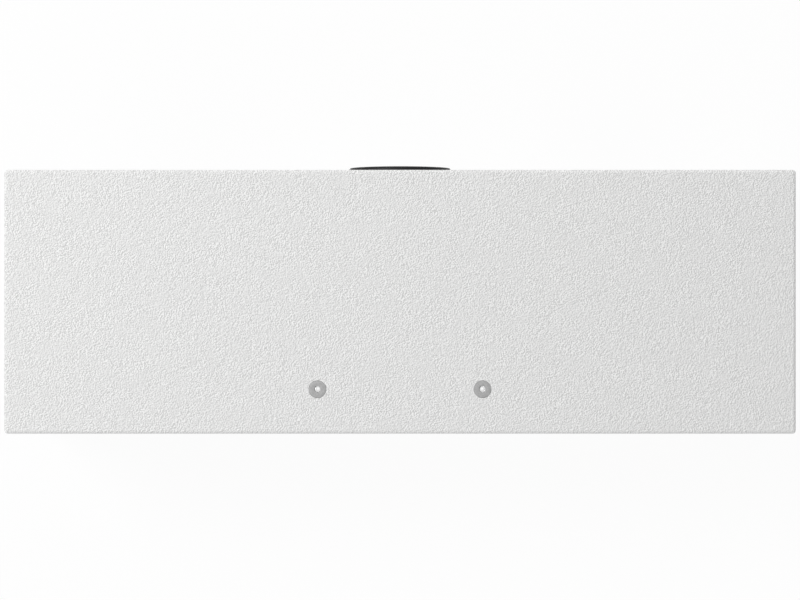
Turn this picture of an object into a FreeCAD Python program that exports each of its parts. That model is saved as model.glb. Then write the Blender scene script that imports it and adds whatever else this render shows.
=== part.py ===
import FreeCAD, Part
import Sketcher
import math
import os
import re

# Center channel speaker: a painted box with two woofers beside a tweeter, two rear ports and a terminal cup.
# Frame: millimetres, +Z up, front towards -Y, origin on the standing surface under the middle of its box.
# In the round pieces of a driver, "depth" runs back from the driver's own front face, along +Y.

DIMENSIONS = {
    # Cabinet
    "cabinet_width": 720,
    "cabinet_depth": 240,
    "cabinet_height": 220,
    "panel_thickness": 18,
    "baffle_thickness": 25,
    "edge_radius": 3,
    "baffle_chamfer": 1.5,
    "brace_thickness": 15,
    "brace_offset": 105,
    "brace_rim": 28,
    "brace_window_radius": 20,
    "foot_radius": 12,
    "foot_height": 5,
    "foot_inset": 40,
    "foot_chamfer": 1,
    # Clearances
    "seat_gap": 0.15,
    "running_gap": 0.3,
    # Threaded inserts in the top panel
    "insert_spacing": 150,
    "insert_setback": 40.5,
    "insert_flange_radius": 7.9,
    "insert_flange_thickness": 1.6,
    "insert_barrel_radius": 5,
    "insert_length": 15,
    "insert_bore_radius": 2.5,
    "insert_lead_in": 0.6,
    "insert_floor": 0.6,
    # Woofer mounting and basket
    "woofer_offset": 205,
    "woofer_sink": 6,
    "woofer_margin": 4,
    "woofer_flange_thickness": 5,
    "woofer_gasket_thickness": 1,
    "woofer_seat_width": 13,
    "woofer_screw_count": 8,
    "trim_width": 16.5,
    "lip_width": 5.5,
    "lip_height": 3,
    "trim_thickness": 4,
    "trim_round": 1.2,
    "basket_collar_depth": 9,
    "basket_wall": 5.5,
    "basket_arm_count": 6,
    "basket_arm_width": 14,
    "spider_seat_radius": 50,
    "spider_seat_width": 6.5,
    "spider_seat_depth": 37,
    "motor_seat_radius": 47,
    "motor_seat_bore": 27,
    "motor_seat_thickness": 4,
    "motor_seat_depth": 52,
    "tag_width": 24,
    "tag_height": 13,
    "tag_thickness": 2,
    "blade_width": 4.8,
    "blade_length": 8,
    "blade_thickness": 0.8,
    "blade_spacing": 12,
    # Woofer moving system
    "surround_thickness": 1,
    "surround_land": 3,
    "surround_fullness": 1.03,
    "surround_width": 12.5,
    "cone_lip_width": 3,
    "cone_rim_depth": 1,
    "cone_neck_depth": 26,
    "cone_thickness": 1.1,
    "cone_neck_thickness": 2,
    "cone_rib_count": 3,
    "cone_rib_inset": 5,
    "cone_rib_spacing": 8,
    "cone_rib_width": 2.2,
    "cone_rib_height": 0.4,
    "dust_cap_radius": 24,
    "dust_cap_height": 8,
    "dust_cap_wall": 0.8,
    "former_radius": 19,
    "former_wall": 0.3,
    "former_front_depth": 24,
    "winding_depth": 48,
    "winding_length": 12,
    "winding_thickness": 0.8,
    "spider_thickness": 0.6,
    "spider_wave_count": 4,
    "spider_wave_height": 1.6,
    # Woofer motor
    "coil_gap": 0.8,
    "pole_gap": 0.7,
    "top_plate_radius": 46,
    "top_plate_thickness": 6,
    "magnet_radius": 48,
    "magnet_bore": 26,
    "magnet_thickness": 16,
    "back_plate_thickness": 7,
    "back_plate_chamfer": 2,
    "pole_vent_radius": 6,
    # Tweeter
    "tweeter_face_radius": 48.5,
    "tweeter_proud": 6.2,
    "tweeter_edge_round": 1.2,
    "tweeter_land": 8,
    "tweeter_throat_radius": 17,
    "tweeter_throat_depth": 8,
    "tweeter_boss_radius": 37,
    "tweeter_boss_depth": 10,
    "tweeter_gasket_thickness": 0.8,
    "tweeter_gasket_width": 8,
    "tweeter_screw_count": 4,
    "dome_radius": 13,
    "dome_height": 4.5,
    "dome_wall": 0.5,
    "dome_roll": 3,
    "dome_roll_fullness": 0.55,
    "dome_edge": 0.5,
    "tweeter_winding_thickness": 0.4,
    "tweeter_former_wall": 0.2,
    "tweeter_former_length": 7,
    "tweeter_winding_length": 4,
    "tweeter_coil_gap": 0.5,
    "tweeter_plate_radius": 34,
    "tweeter_plate_thickness": 4,
    "tweeter_magnet_radius": 33,
    "tweeter_magnet_bore": 18,
    "tweeter_magnet_thickness": 10,
    "tweeter_vent_radius": 4,
    # Wood screws of the drivers and the terminal cup
    "screw_head_radius": 3.9,
    "screw_head_depth": 2.4,
    "screw_socket_radius": 1.75,
    "screw_socket_depth": 1.5,
    "screw_shank_radius": 2,
    "screw_length": 22,
    "small_head_radius": 3.1,
    "small_head_depth": 1.9,
    "small_socket_radius": 1.2,
    "small_socket_depth": 1.2,
    "small_shank_radius": 1.5,
    "small_length": 16,
    # Ports
    "port_offset": 205,
    "port_radius": 25,
    "port_wall": 3,
    "port_rim_fullness": 0.6,
    "port_flange_width": 4,
    "port_flare": 13,
    "port_length": 95,
    # Terminal cup and binding posts
    "cup_width": 104,
    "cup_height": 84,
    "cup_corner": 10,
    "cup_flange_thickness": 3,
    "cup_flange_width": 13,
    "cup_depth": 36,
    "cup_wall": 2.5,
    "cup_floor": 3,
    "cup_mouth_round": 1.5,
    "post_spacing": 19,
    "post_shaft_radius": 3,
    "post_shaft_length": 22,
    "post_tail_length": 14,
    "post_socket_radius": 2.05,
    "post_socket_floor": 4.6,
    "post_wire_hole_radius": 1.5,
    "post_collar_radius": 8.5,
    "post_collar_height": 3.5,
    "post_core_wall": 2,
    "post_core_length": 13,
    "post_cap_radius": 8.5,
    "post_cap_length": 18.5,
    "post_cap_front": 3.5,
    "post_cap_groove_count": 14,
    "post_cap_groove_radius": 0.8,
    "post_nut_radius": 5.8,
    "post_nut_thickness": 5,
    # Crossover
    "board_width": 150,
    "board_depth": 110,
    "board_thickness": 1.6,
    "board_setback": 10,
    "board_corner": 5,
    "pillar_height": 10,
    "pillar_radius": 4,
    "pillar_pin_radius": 1.5,
    "pillar_inset": 6,
    "coil_radius": 27,
    "coil_height": 22,
    "small_coil_radius": 19,
    "small_coil_height": 18,
    "coil_hole_radius": 9,
    "bobbin_flange": 1.6,
    "bobbin_wall": 1.5,
    "coil_left": 43,
    "coil_forward": 20,
    "coil_spacing": 52,
    "capacitor_radius": 10.5,
    "capacitor_length": 44,
    "capacitor_round": 2,
    "capacitor_spacing": 24,
    "capacitor_count": 3,
    "resistor_width": 48,
    "resistor_depth": 10,
    "resistor_height": 9,
    "resistor_spacing": 18,
    "resistor_count": 2,
    # Damping
    "damping_thickness": 36,
}

# Places that follow from the driving sizes
DERIVED = {
    "axis_height": "foot_height + cabinet_height / 2",
    "top_height": "foot_height + cabinet_height",
    "front_y": "(tweeter_proud - cabinet_depth) / 2",
    "rear_y": "(tweeter_proud + cabinet_depth) / 2",
    "inner_width": "cabinet_width - 2 * panel_thickness",
    "inner_height": "cabinet_height - 2 * panel_thickness",
    "inner_front_y": "front_y + baffle_thickness",
    "inner_rear_y": "rear_y - panel_thickness",
    "inner_floor": "foot_height + panel_thickness",
    "woofer_front_y": "front_y + woofer_sink",
    "woofer_flange_radius": "inner_height / 2 - woofer_margin",
    "woofer_cutout_radius": "woofer_flange_radius - woofer_seat_width",
    "lip_radius": "woofer_flange_radius - trim_width",
    "cone_rim_radius": "lip_radius - surround_width",
    "woofer_screw_circle": "(lip_radius + woofer_flange_radius) / 2",
    "rebate_radius": "woofer_flange_radius + 2 * seat_gap",
    "rebate_depth": "woofer_sink + woofer_flange_thickness + woofer_gasket_thickness",
    "roll_outer": "lip_radius - surround_land",
    "roll_inner": "cone_rim_radius + surround_thickness / 2",
    "cone_lip_radius": "cone_rim_radius - cone_lip_width",
    "neck_radius": "former_radius + former_wall + seat_gap",
    "cone_slope": "(cone_neck_depth - cone_rim_depth) / (cone_lip_radius - neck_radius)",
    "dust_cap_depth": "cone_rim_depth + (cone_lip_radius - dust_cap_radius) * cone_slope",
    "winding_radius": "former_radius + former_wall + winding_thickness",
    "magnet_depth": "motor_seat_depth + top_plate_thickness",
    "back_plate_depth": "magnet_depth + magnet_thickness",
    "pole_radius": "former_radius - pole_gap",
    "tweeter_mouth_radius": "tweeter_face_radius - tweeter_land",
    "tweeter_screw_circle": "tweeter_face_radius - tweeter_land / 2",
    "tweeter_cutout_radius": "tweeter_boss_radius + 4 * running_gap",
    "dome_depth": "tweeter_boss_depth - dome_wall - 2 * running_gap",
    "dome_outer_radius": "dome_radius + dome_roll + dome_edge",
    "tweeter_magnet_depth": "tweeter_boss_depth + tweeter_plate_thickness",
    "tweeter_back_depth": "tweeter_magnet_depth + tweeter_magnet_thickness",
    "port_flange_radius": "port_radius + port_flare + port_flange_width",
    "cup_body_width": "cup_width - 2 * cup_flange_width",
    "cup_body_height": "cup_height - 2 * cup_flange_width",
    "cup_screw_inset": "cup_flange_width / 2",
    "post_floor_y": "rear_y - cup_depth + cup_floor",
    "post_core_radius": "post_shaft_radius + running_gap + post_core_wall",
    "post_cap_start": "post_collar_height + running_gap",
    "board_floor": "inner_floor + pillar_height",
    "board_top": "board_floor + board_thickness",
}

doc = FreeCAD.newDocument("CenterSpeaker")
sizes = doc.addObject("Spreadsheet::Sheet", "Sizes")
for row, (alias, number) in enumerate(DIMENSIONS.items(), start=1):
    sizes.set(f"A{row}", str(number))
    sizes.setAlias(f"A{row}", alias)
for row, (alias, formula) in enumerate(DERIVED.items(), start=1):
    sizes.set(f"B{row}", "=" + formula)
    sizes.setAlias(f"B{row}", alias)
doc.recompute()

WORD = re.compile(r"[a-z][a-z_]*[a-z]")
NORMAL_SIGN = {"XY_Plane": 1, "XZ_Plane": -1, "YZ_Plane": 1}
LEFT, RIGHT = 1, -1
SIDES = {"left": -1, "right": 1}
nodes = []


def bound(expression):
    """The expression with each alias written as a reference to the sheet."""
    known = DIMENSIONS.keys() | DERIVED.keys()
    return WORD.sub(lambda word: f"Sizes.{word[0]}" if word[0] in known else word[0], str(expression))


def value(expression):
    """The expression's present value."""
    return float(sizes.evalExpression(bound(expression)))


def new_body(label, x="0", y="0", z="0"):
    """An empty sub-part whose own origin stands at x, y, z."""
    body = doc.addObject("PartDesign::Body", label)
    body.Label = label
    for axis, place in zip("xyz", (x, y, z)):
        body.setExpression(f"Placement.Base.{axis}", bound(place))
    nodes.append(body)
    return body


def origin_feature(body, role):
    """One of the body's own planes or axes."""
    return next(feature for feature in body.Origin.OriginFeatures if feature.Role == role)


def new_sketch(body, role, level="0", across="0", up="0"):
    """A sketch in one of the body's planes, moved by level along X, Y or Z and by across and up within it."""
    sketch = body.newObject("Sketcher::SketchObject", f"{body.Name}_sketch")
    sketch.AttachmentSupport = [(origin_feature(body, role), "")]
    sketch.MapMode = "FlatFace"
    for axis, shift in zip("xyz", (across, up, f"({level}) * {NORMAL_SIGN[role]}")):
        sketch.setExpression(f"AttachmentOffset.Base.{axis}", bound(shift))
    return sketch


def fix_point(sketch, shape, end, across, up):
    """Ties one point of a sketch to its place from the sketch's origin."""
    for kind, axis_line, place in (("DistanceX", -2, across), ("DistanceY", -1, up)):
        if str(place) == "0":
            sketch.addConstraint(Sketcher.Constraint("PointOnObject", shape, end, axis_line))
            continue
        rule = sketch.addConstraint(Sketcher.Constraint(kind, -1, 1, shape, end, value(place)))
        sketch.setExpression(f"Constraints[{rule}]", bound(place))


def fix_radius(sketch, shape, radius):
    """Ties the radius of an arc or circle."""
    rule = sketch.addConstraint(Sketcher.Constraint("Radius", shape, value(radius)))
    sketch.setExpression(f"Constraints[{rule}]", bound(radius))


def arc_middle(start, end, radius, side):
    """The middle of the short arc from start to end that bulges to the left or right of the way."""
    run = end - start
    rise = radius - math.sqrt(max(radius ** 2 - run.Length ** 2 / 4, 0))
    across = FreeCAD.Vector(-run.y, run.x, 0) / run.Length
    return (start + end) / 2 + across * rise * side


def add_outline(sketch, corners):
    """A closed outline. A corner is (across, up), or (across, up, radius, side) where an arc leads to it."""
    spots = [FreeCAD.Vector(value(corner[0]), value(corner[1]), 0) for corner in corners]
    edges = []
    for start, end, corner in zip(spots, spots[1:] + spots[:1], corners[1:] + corners[:1]):
        head, tail = 1, 2
        if len(corner) == 2:
            shape = sketch.addGeometry(Part.LineSegment(start, end))
        else:
            # An arc is always drawn anticlockwise, so one that bulges left is drawn from its far end
            middle = arc_middle(start, end, value(corner[2]), corner[3])
            if corner[3] == LEFT:
                head, tail = 2, 1
                start, end = end, start
            shape = sketch.addGeometry(Part.Arc(start, middle, end))
        edges.append((shape, head, tail, corner))
    for (shape, head, tail, corner), following, here in zip(edges, edges[1:] + edges[:1], corners):
        sketch.addConstraint(Sketcher.Constraint("Coincident", shape, tail, following[0], following[1]))
        fix_point(sketch, shape, head, here[0], here[1])
        if len(corner) == 4:
            fix_radius(sketch, shape, corner[2])


def add_circle(sketch, across, up, radius):
    """A circle about a point of the sketch."""
    middle = FreeCAD.Vector(value(across), value(up), 0)
    shape = sketch.addGeometry(Part.Circle(middle, FreeCAD.Vector(0, 0, 1), value(radius)))
    fix_point(sketch, shape, 3, across, up)
    fix_radius(sketch, shape, radius)


def add_rectangle(sketch, left, right, low, high):
    """A rectangle given by its four sides."""
    add_outline(sketch, [(left, low), (right, low), (right, high), (left, high)])


def add_rounded(sketch, width, height, radius, across="0", up="0"):
    """A rectangle with round corners about a point of the sketch."""
    left, right = f"{across} - ({width}) / 2", f"{across} + ({width}) / 2"
    low, high = f"{up} - ({height}) / 2", f"{up} + ({height}) / 2"
    add_outline(sketch, [
        (f"{left} + ({radius})", low, radius, RIGHT),
        (f"{right} - ({radius})", low),
        (right, f"{low} + ({radius})", radius, RIGHT),
        (right, f"{high} - ({radius})"),
        (f"{right} - ({radius})", high, radius, RIGHT),
        (f"{left} + ({radius})", high),
        (left, f"{high} - ({radius})", radius, RIGHT),
        (left, f"{low} + ({radius})"),
    ])


def add_hexagon(sketch, radius, across="0"):
    """A hexagon about a point of the sketch's level axis, with two corners on that axis."""
    add_outline(sketch, [
        (f"{across} + {radius} * cos({angle})", f"{radius} * sin({angle})") for angle in range(0, 360, 60)
    ])


def extrude(body, sketch, length, kind="Pad", reverse=False, both_ways=False):
    """A pad or pocket of the given length."""
    feature = body.newObject(f"PartDesign::{kind}", f"{body.Name}_{kind}")
    feature.Profile = sketch
    feature.Reversed = reverse
    feature.Midplane = both_ways
    feature.setExpression("Length", bound(length))
    return feature


def turn(body, corners, role="XY_Plane", kind="Revolution", across="0", up="0"):
    """A solid or groove of revolution about the sketch's upright axis."""
    sketch = new_sketch(body, role, across=across, up=up)
    add_outline(sketch, corners)
    feature = body.newObject(f"PartDesign::{kind}", f"{body.Name}_{kind}")
    feature.Profile = sketch
    feature.ReferenceAxis = (sketch, ["V_Axis"])
    feature.Angle = 360
    return feature


def repeat_round(body, feature, count, axis):
    """Copies of a feature, evenly spaced about an axis."""
    pattern = body.newObject("PartDesign::PolarPattern", f"{body.Name}_round")
    pattern.Originals = [feature]
    pattern.Axis = axis
    pattern.Angle = 360
    pattern.setExpression("Occurrences", bound(count))
    body.Tip = pattern
    return pattern


def repeat_along(body, feature, count, spacing, role):
    """Copies of a feature in a row along one of the body's axes."""
    pattern = body.newObject("PartDesign::LinearPattern", f"{body.Name}_row")
    pattern.Originals = [feature]
    pattern.Direction = (origin_feature(body, role), [""])
    pattern.setExpression("Length", bound(f"({spacing}) * (({count}) - 1)"))
    pattern.setExpression("Occurrences", bound(count))
    body.Tip = pattern
    return pattern


def mirror(body, feature, role="YZ_Plane"):
    """A mirrored copy of a feature across one of the body's planes."""
    copy = body.newObject("PartDesign::Mirrored", f"{body.Name}_mirror")
    copy.Originals = [feature]
    copy.MirrorPlane = (origin_feature(body, role), [""])
    body.Tip = copy
    return copy


def dress(body, kind, size, chosen):
    """Rounds or chamfers the edges of the body that the test picks."""
    doc.recompute()
    base = body.Tip
    names = [f"Edge{i}" for i, edge in enumerate(base.Shape.Edges, start=1) if chosen(edge)]
    feature = body.newObject(f"PartDesign::{kind}", f"{body.Name}_{kind}")
    feature.Base = (base, names)
    feature.setExpression("Radius" if kind == "Fillet" else "Size", bound(size))
    return feature


def runs_along(edge, axis):
    """True for a straight edge along the axis 0, 1 or 2."""
    spread = edge.BoundBox.XLength, edge.BoundBox.YLength, edge.BoundBox.ZLength
    return spread[axis] > 1e-3 and sum(spread) - spread[axis] < 1e-6


def lies_at(edge, axis, level):
    """True for an edge that lies wholly at one level of the axis 0, 1 or 2."""
    box = edge.BoundBox
    low = (box.XMin, box.YMin, box.ZMin)[axis]
    high = (box.XMax, box.YMax, box.ZMax)[axis]
    return abs(low - level) < 1e-4 and abs(high - level) < 1e-4


def screw_profile(front, head_radius, head_depth, shank_radius, length, way=1):
    """Half section of a countersunk wood screw whose head is flush with front and points along way."""
    tip = f"2 * {shank_radius}"
    return [
        ("0", front),
        (head_radius, front),
        (shank_radius, f"{front} + ({head_depth}) * {way}"),
        (shank_radius, f"{front} + ({length} - {tip}) * {way}"),
        ("0", f"{front} + ({length}) * {way}"),
    ]


def hex_socket(screws, size, front, across, up="0", reverse=False):
    """The hexagon socket in a screw's head, of the size whose names start with screw or small."""
    sketch = new_sketch(screws, "XZ_Plane", level=front, across=across, up=up)
    add_hexagon(sketch, f"{size}_socket_radius")
    return extrude(screws, sketch, f"{size}_socket_depth", "Pocket", reverse=reverse)


def countersink(front, back, head_radius, head_depth, hole_radius, way=1):
    """Half section of the hole that such a screw passes through, from front to back."""
    return [
        ("0", front),
        (f"{head_radius} + seat_gap", front),
        (hole_radius, f"{front} + ({head_depth}) * {way}"),
        (hole_radius, back),
        ("0", back),
    ]


def tilt_to_corner(feature):
    """Moves a feature turned about the tweeter's axis to the upper right of its screw circle."""
    sketch = feature.Profile[0]
    sketch.setExpression("AttachmentOffset.Base.x", bound("tweeter_screw_circle * cos(45)"))
    sketch.setExpression("AttachmentOffset.Base.z", bound("tweeter_screw_circle * sin(45)"))


def flat_panel(label, level, outer_face):
    """The top or bottom panel, with its outline and corners rounded on the outer face."""
    body = new_body(label, z=level)
    sketch = new_sketch(body, "XY_Plane")
    add_rectangle(sketch, "-cabinet_width / 2", "cabinet_width / 2", "front_y", "rear_y")
    extrude(body, sketch, "panel_thickness")
    face = value(outer_face)
    dress(body, "Fillet", "edge_radius", lambda edge: runs_along(edge, 2) or lies_at(edge, 2, face))
    return body


def cabinet():
    """The six panels of the box and the two window braces inside it."""
    top = flat_panel("cabinet_top", "top_height - panel_thickness", "panel_thickness")
    for radius, depth in (
        ("insert_flange_radius + seat_gap", "insert_flange_thickness"),
        ("insert_barrel_radius + seat_gap", "insert_length + seat_gap"),
    ):
        sketch = new_sketch(top, "XY_Plane", level="panel_thickness")
        for sign in SIDES.values():
            add_circle(sketch, f"insert_spacing / 2 * {sign}", "rear_y - insert_setback", radius)
        extrude(top, sketch, depth, "Pocket")
    flat_panel("cabinet_bottom", "foot_height", "0")

    for side, sign in SIDES.items():
        panel = new_body(f"cabinet_side_{side}", x=f"(cabinet_width / 2 - panel_thickness / 2) * {sign}",
                         z="inner_floor")
        sketch = new_sketch(panel, "YZ_Plane")
        add_rectangle(sketch, "front_y", "rear_y", "0", "inner_height")
        extrude(panel, sketch, "panel_thickness", both_ways=True)
        outside = value("panel_thickness / 2") * sign
        dress(panel, "Fillet", "edge_radius",
              lambda edge, x=outside: runs_along(edge, 2) and lies_at(edge, 0, x))

    braces = new_body("cabinet_braces", z="axis_height")
    sketch = new_sketch(braces, "YZ_Plane", level="brace_offset", across="(inner_front_y + inner_rear_y) / 2")
    depth = "(inner_rear_y - inner_front_y)"
    add_rectangle(sketch, f"-{depth} / 2", f"{depth} / 2", "-inner_height / 2", "inner_height / 2")
    add_rounded(sketch, f"{depth} - 2 * brace_rim", "inner_height - 2 * brace_rim", "brace_window_radius")
    mirror(braces, extrude(braces, sketch, "brace_thickness", both_ways=True))


def front_baffle():
    """The front board, with a stepped round opening for each woofer and a plain one for the tweeter."""
    baffle = new_body("front_baffle", y="front_y", z="axis_height")
    sketch = new_sketch(baffle, "XZ_Plane")
    add_rectangle(sketch, "-inner_width / 2", "inner_width / 2", "-inner_height / 2", "inner_height / 2")
    extrude(baffle, sketch, "baffle_thickness", reverse=True)
    rebates = new_sketch(baffle, "XZ_Plane")
    cutouts = new_sketch(baffle, "XZ_Plane")
    add_circle(cutouts, "0", "0", "tweeter_cutout_radius")
    for sign in SIDES.values():
        add_circle(rebates, f"woofer_offset * {sign}", "0", "rebate_radius")
        add_circle(cutouts, f"woofer_offset * {sign}", "0", "woofer_cutout_radius")
    extrude(baffle, rebates, "rebate_depth", "Pocket")
    extrude(baffle, cutouts, "baffle_thickness", "Pocket")
    rim = value("rebate_radius")
    dress(baffle, "Chamfer", "baffle_chamfer",
          lambda edge: lies_at(edge, 1, 0) and abs(edge.BoundBox.XLength - 2 * rim) < 1e-3)
    for sign in SIDES.values():
        pilot = turn(baffle, [
            ("0", "rebate_depth"),
            ("screw_shank_radius + seat_gap", "rebate_depth"),
            ("screw_shank_radius + seat_gap", "woofer_sink - trim_thickness + screw_length + seat_gap"),
            ("0", "woofer_sink - trim_thickness + screw_length + seat_gap"),
        ], kind="Groove", across=f"woofer_offset * {sign} + woofer_screw_circle")
        centre = new_sketch(baffle, "XZ_Plane", across=f"woofer_offset * {sign}")
        repeat_round(baffle, pilot, "woofer_screw_count", (centre, ["N_Axis"]))
    pilot = turn(baffle, [
        ("0", "0"),
        ("small_shank_radius + seat_gap", "0"),
        ("small_shank_radius + seat_gap", "small_length - tweeter_proud + seat_gap"),
        ("0", "small_length - tweeter_proud + seat_gap"),
    ], kind="Groove")
    tilt_to_corner(pilot)
    repeat_round(baffle, pilot, "tweeter_screw_count", (origin_feature(baffle, "Y_Axis"), [""]))


def rear_panel():
    """The rear board, rebated for the port flanges and the terminal cup."""
    panel = new_body("rear_panel", y="rear_y", z="axis_height")
    sketch = new_sketch(panel, "XZ_Plane")
    add_rectangle(sketch, "-inner_width / 2", "inner_width / 2", "-inner_height / 2", "inner_height / 2")
    extrude(panel, sketch, "panel_thickness")
    port_rebates = new_sketch(panel, "XZ_Plane")
    cutouts = new_sketch(panel, "XZ_Plane")
    for sign in SIDES.values():
        add_circle(port_rebates, f"port_offset * {sign}", "0", "port_flange_radius + seat_gap")
        add_circle(cutouts, f"port_offset * {sign}", "0", "port_radius + port_flare + seat_gap")
    add_rounded(cutouts, "cup_body_width + 2 * seat_gap", "cup_body_height + 2 * seat_gap", "cup_corner")
    cup_rebate = new_sketch(panel, "XZ_Plane")
    add_rounded(cup_rebate, "cup_width + 2 * seat_gap", "cup_height + 2 * seat_gap", "cup_corner")
    extrude(panel, port_rebates, "port_wall", "Pocket", reverse=True)
    extrude(panel, cup_rebate, "cup_flange_thickness", "Pocket", reverse=True)
    extrude(panel, cutouts, "panel_thickness", "Pocket", reverse=True)
    pilots = new_sketch(panel, "XZ_Plane")
    for across in SIDES.values():
        for up in SIDES.values():
            add_circle(pilots, f"(cup_width / 2 - cup_screw_inset) * {across}",
                       f"(cup_height / 2 - cup_screw_inset) * {up}", "small_shank_radius + seat_gap")
    extrude(panel, pilots, "small_length + seat_gap", "Pocket", reverse=True)


def feet():
    """Four rubber discs stuck under the bottom panel."""
    body = new_body("rubber_feet")
    sketch = new_sketch(body, "XY_Plane")
    for across in SIDES.values():
        for along in ("front_y + foot_inset", "rear_y - foot_inset"):
            add_circle(sketch, f"(cabinet_width / 2 - foot_inset) * {across}", along, "foot_radius")
    extrude(body, sketch, "foot_height")
    dress(body, "Chamfer", "foot_chamfer", lambda edge: lies_at(edge, 2, 0))


def inserts():
    """Two flanged steel nuts sunk in the top panel, tapped for a bracket's bolts and closed at the end."""
    for side, sign in SIDES.items():
        body = new_body(f"threaded_insert_{side}", x=f"insert_spacing / 2 * {sign}",
                        y="rear_y - insert_setback", z="top_height")
        turn(body, [
            ("0", "-insert_length"),
            ("0", "insert_floor - insert_length"),
            ("insert_bore_radius", "insert_floor - insert_length"),
            ("insert_bore_radius", "-insert_lead_in"),
            ("insert_bore_radius + insert_lead_in", "0"),
            ("insert_flange_radius", "0"),
            ("insert_flange_radius", "-insert_flange_thickness"),
            ("insert_barrel_radius", "-insert_flange_thickness"),
            ("insert_barrel_radius", "-insert_length"),
        ], role="XZ_Plane")


def woofer_basket(side, place):
    """Cast basket: flange with a raised lip, six arms, spider seat and motor seat."""
    basket = new_body(f"woofer_{side}_basket", **place)
    inner_wall = "lip_radius - lip_width"
    turn(basket, [
        (inner_wall, "-lip_height"),
        ("lip_radius", "-lip_height"),
        ("lip_radius", "0"),
        ("woofer_flange_radius", "0"),
        ("woofer_flange_radius", "woofer_flange_thickness"),
        (f"{inner_wall} + basket_wall", "woofer_flange_thickness"),
        (f"{inner_wall} + basket_wall", "basket_collar_depth"),
        ("spider_seat_radius + basket_wall", "spider_seat_depth"),
        ("motor_seat_radius", "motor_seat_depth - motor_seat_thickness"),
        ("motor_seat_radius", "motor_seat_depth"),
        ("motor_seat_bore", "motor_seat_depth"),
        ("motor_seat_bore", "motor_seat_depth - motor_seat_thickness"),
        ("spider_seat_radius - spider_seat_width", "motor_seat_depth - motor_seat_thickness"),
        ("spider_seat_radius - spider_seat_width", "spider_seat_depth"),
        ("spider_seat_radius", "spider_seat_depth"),
        (inner_wall, "woofer_flange_thickness"),
    ])
    # Windows between the arms, each with its sides parallel to the arms beside it
    half_turn = "180 / basket_arm_count"
    windows = new_sketch(basket, "XZ_Plane", level="basket_collar_depth")
    near, far = "spider_seat_radius - basket_wall", "lip_radius + basket_wall"
    corners = []
    for reach, sign in ((near, -1), (far, -1), (far, 1), (near, 1)):
        across = f"({reach}) * cos({half_turn}) + basket_arm_width / 2 * sin({half_turn})"
        up = f"(({reach}) * sin({half_turn}) - basket_arm_width / 2 * cos({half_turn})) * {sign}"
        corners.append((across, up))
    add_outline(windows, corners)
    window_depth = "spider_seat_depth - basket_collar_depth - 2 * spider_thickness"
    window = extrude(basket, windows, window_depth, "Pocket")
    repeat_round(basket, window, "basket_arm_count", (windows, ["N_Axis"]))
    hole = turn(basket, [
        ("0", "-trim_thickness"),
        ("screw_shank_radius + seat_gap", "-trim_thickness"),
        ("screw_shank_radius + seat_gap", "woofer_flange_thickness"),
        ("0", "woofer_flange_thickness"),
    ], kind="Groove", across="woofer_screw_circle")
    repeat_round(basket, hole, "woofer_screw_count", (windows, ["N_Axis"]))


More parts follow.
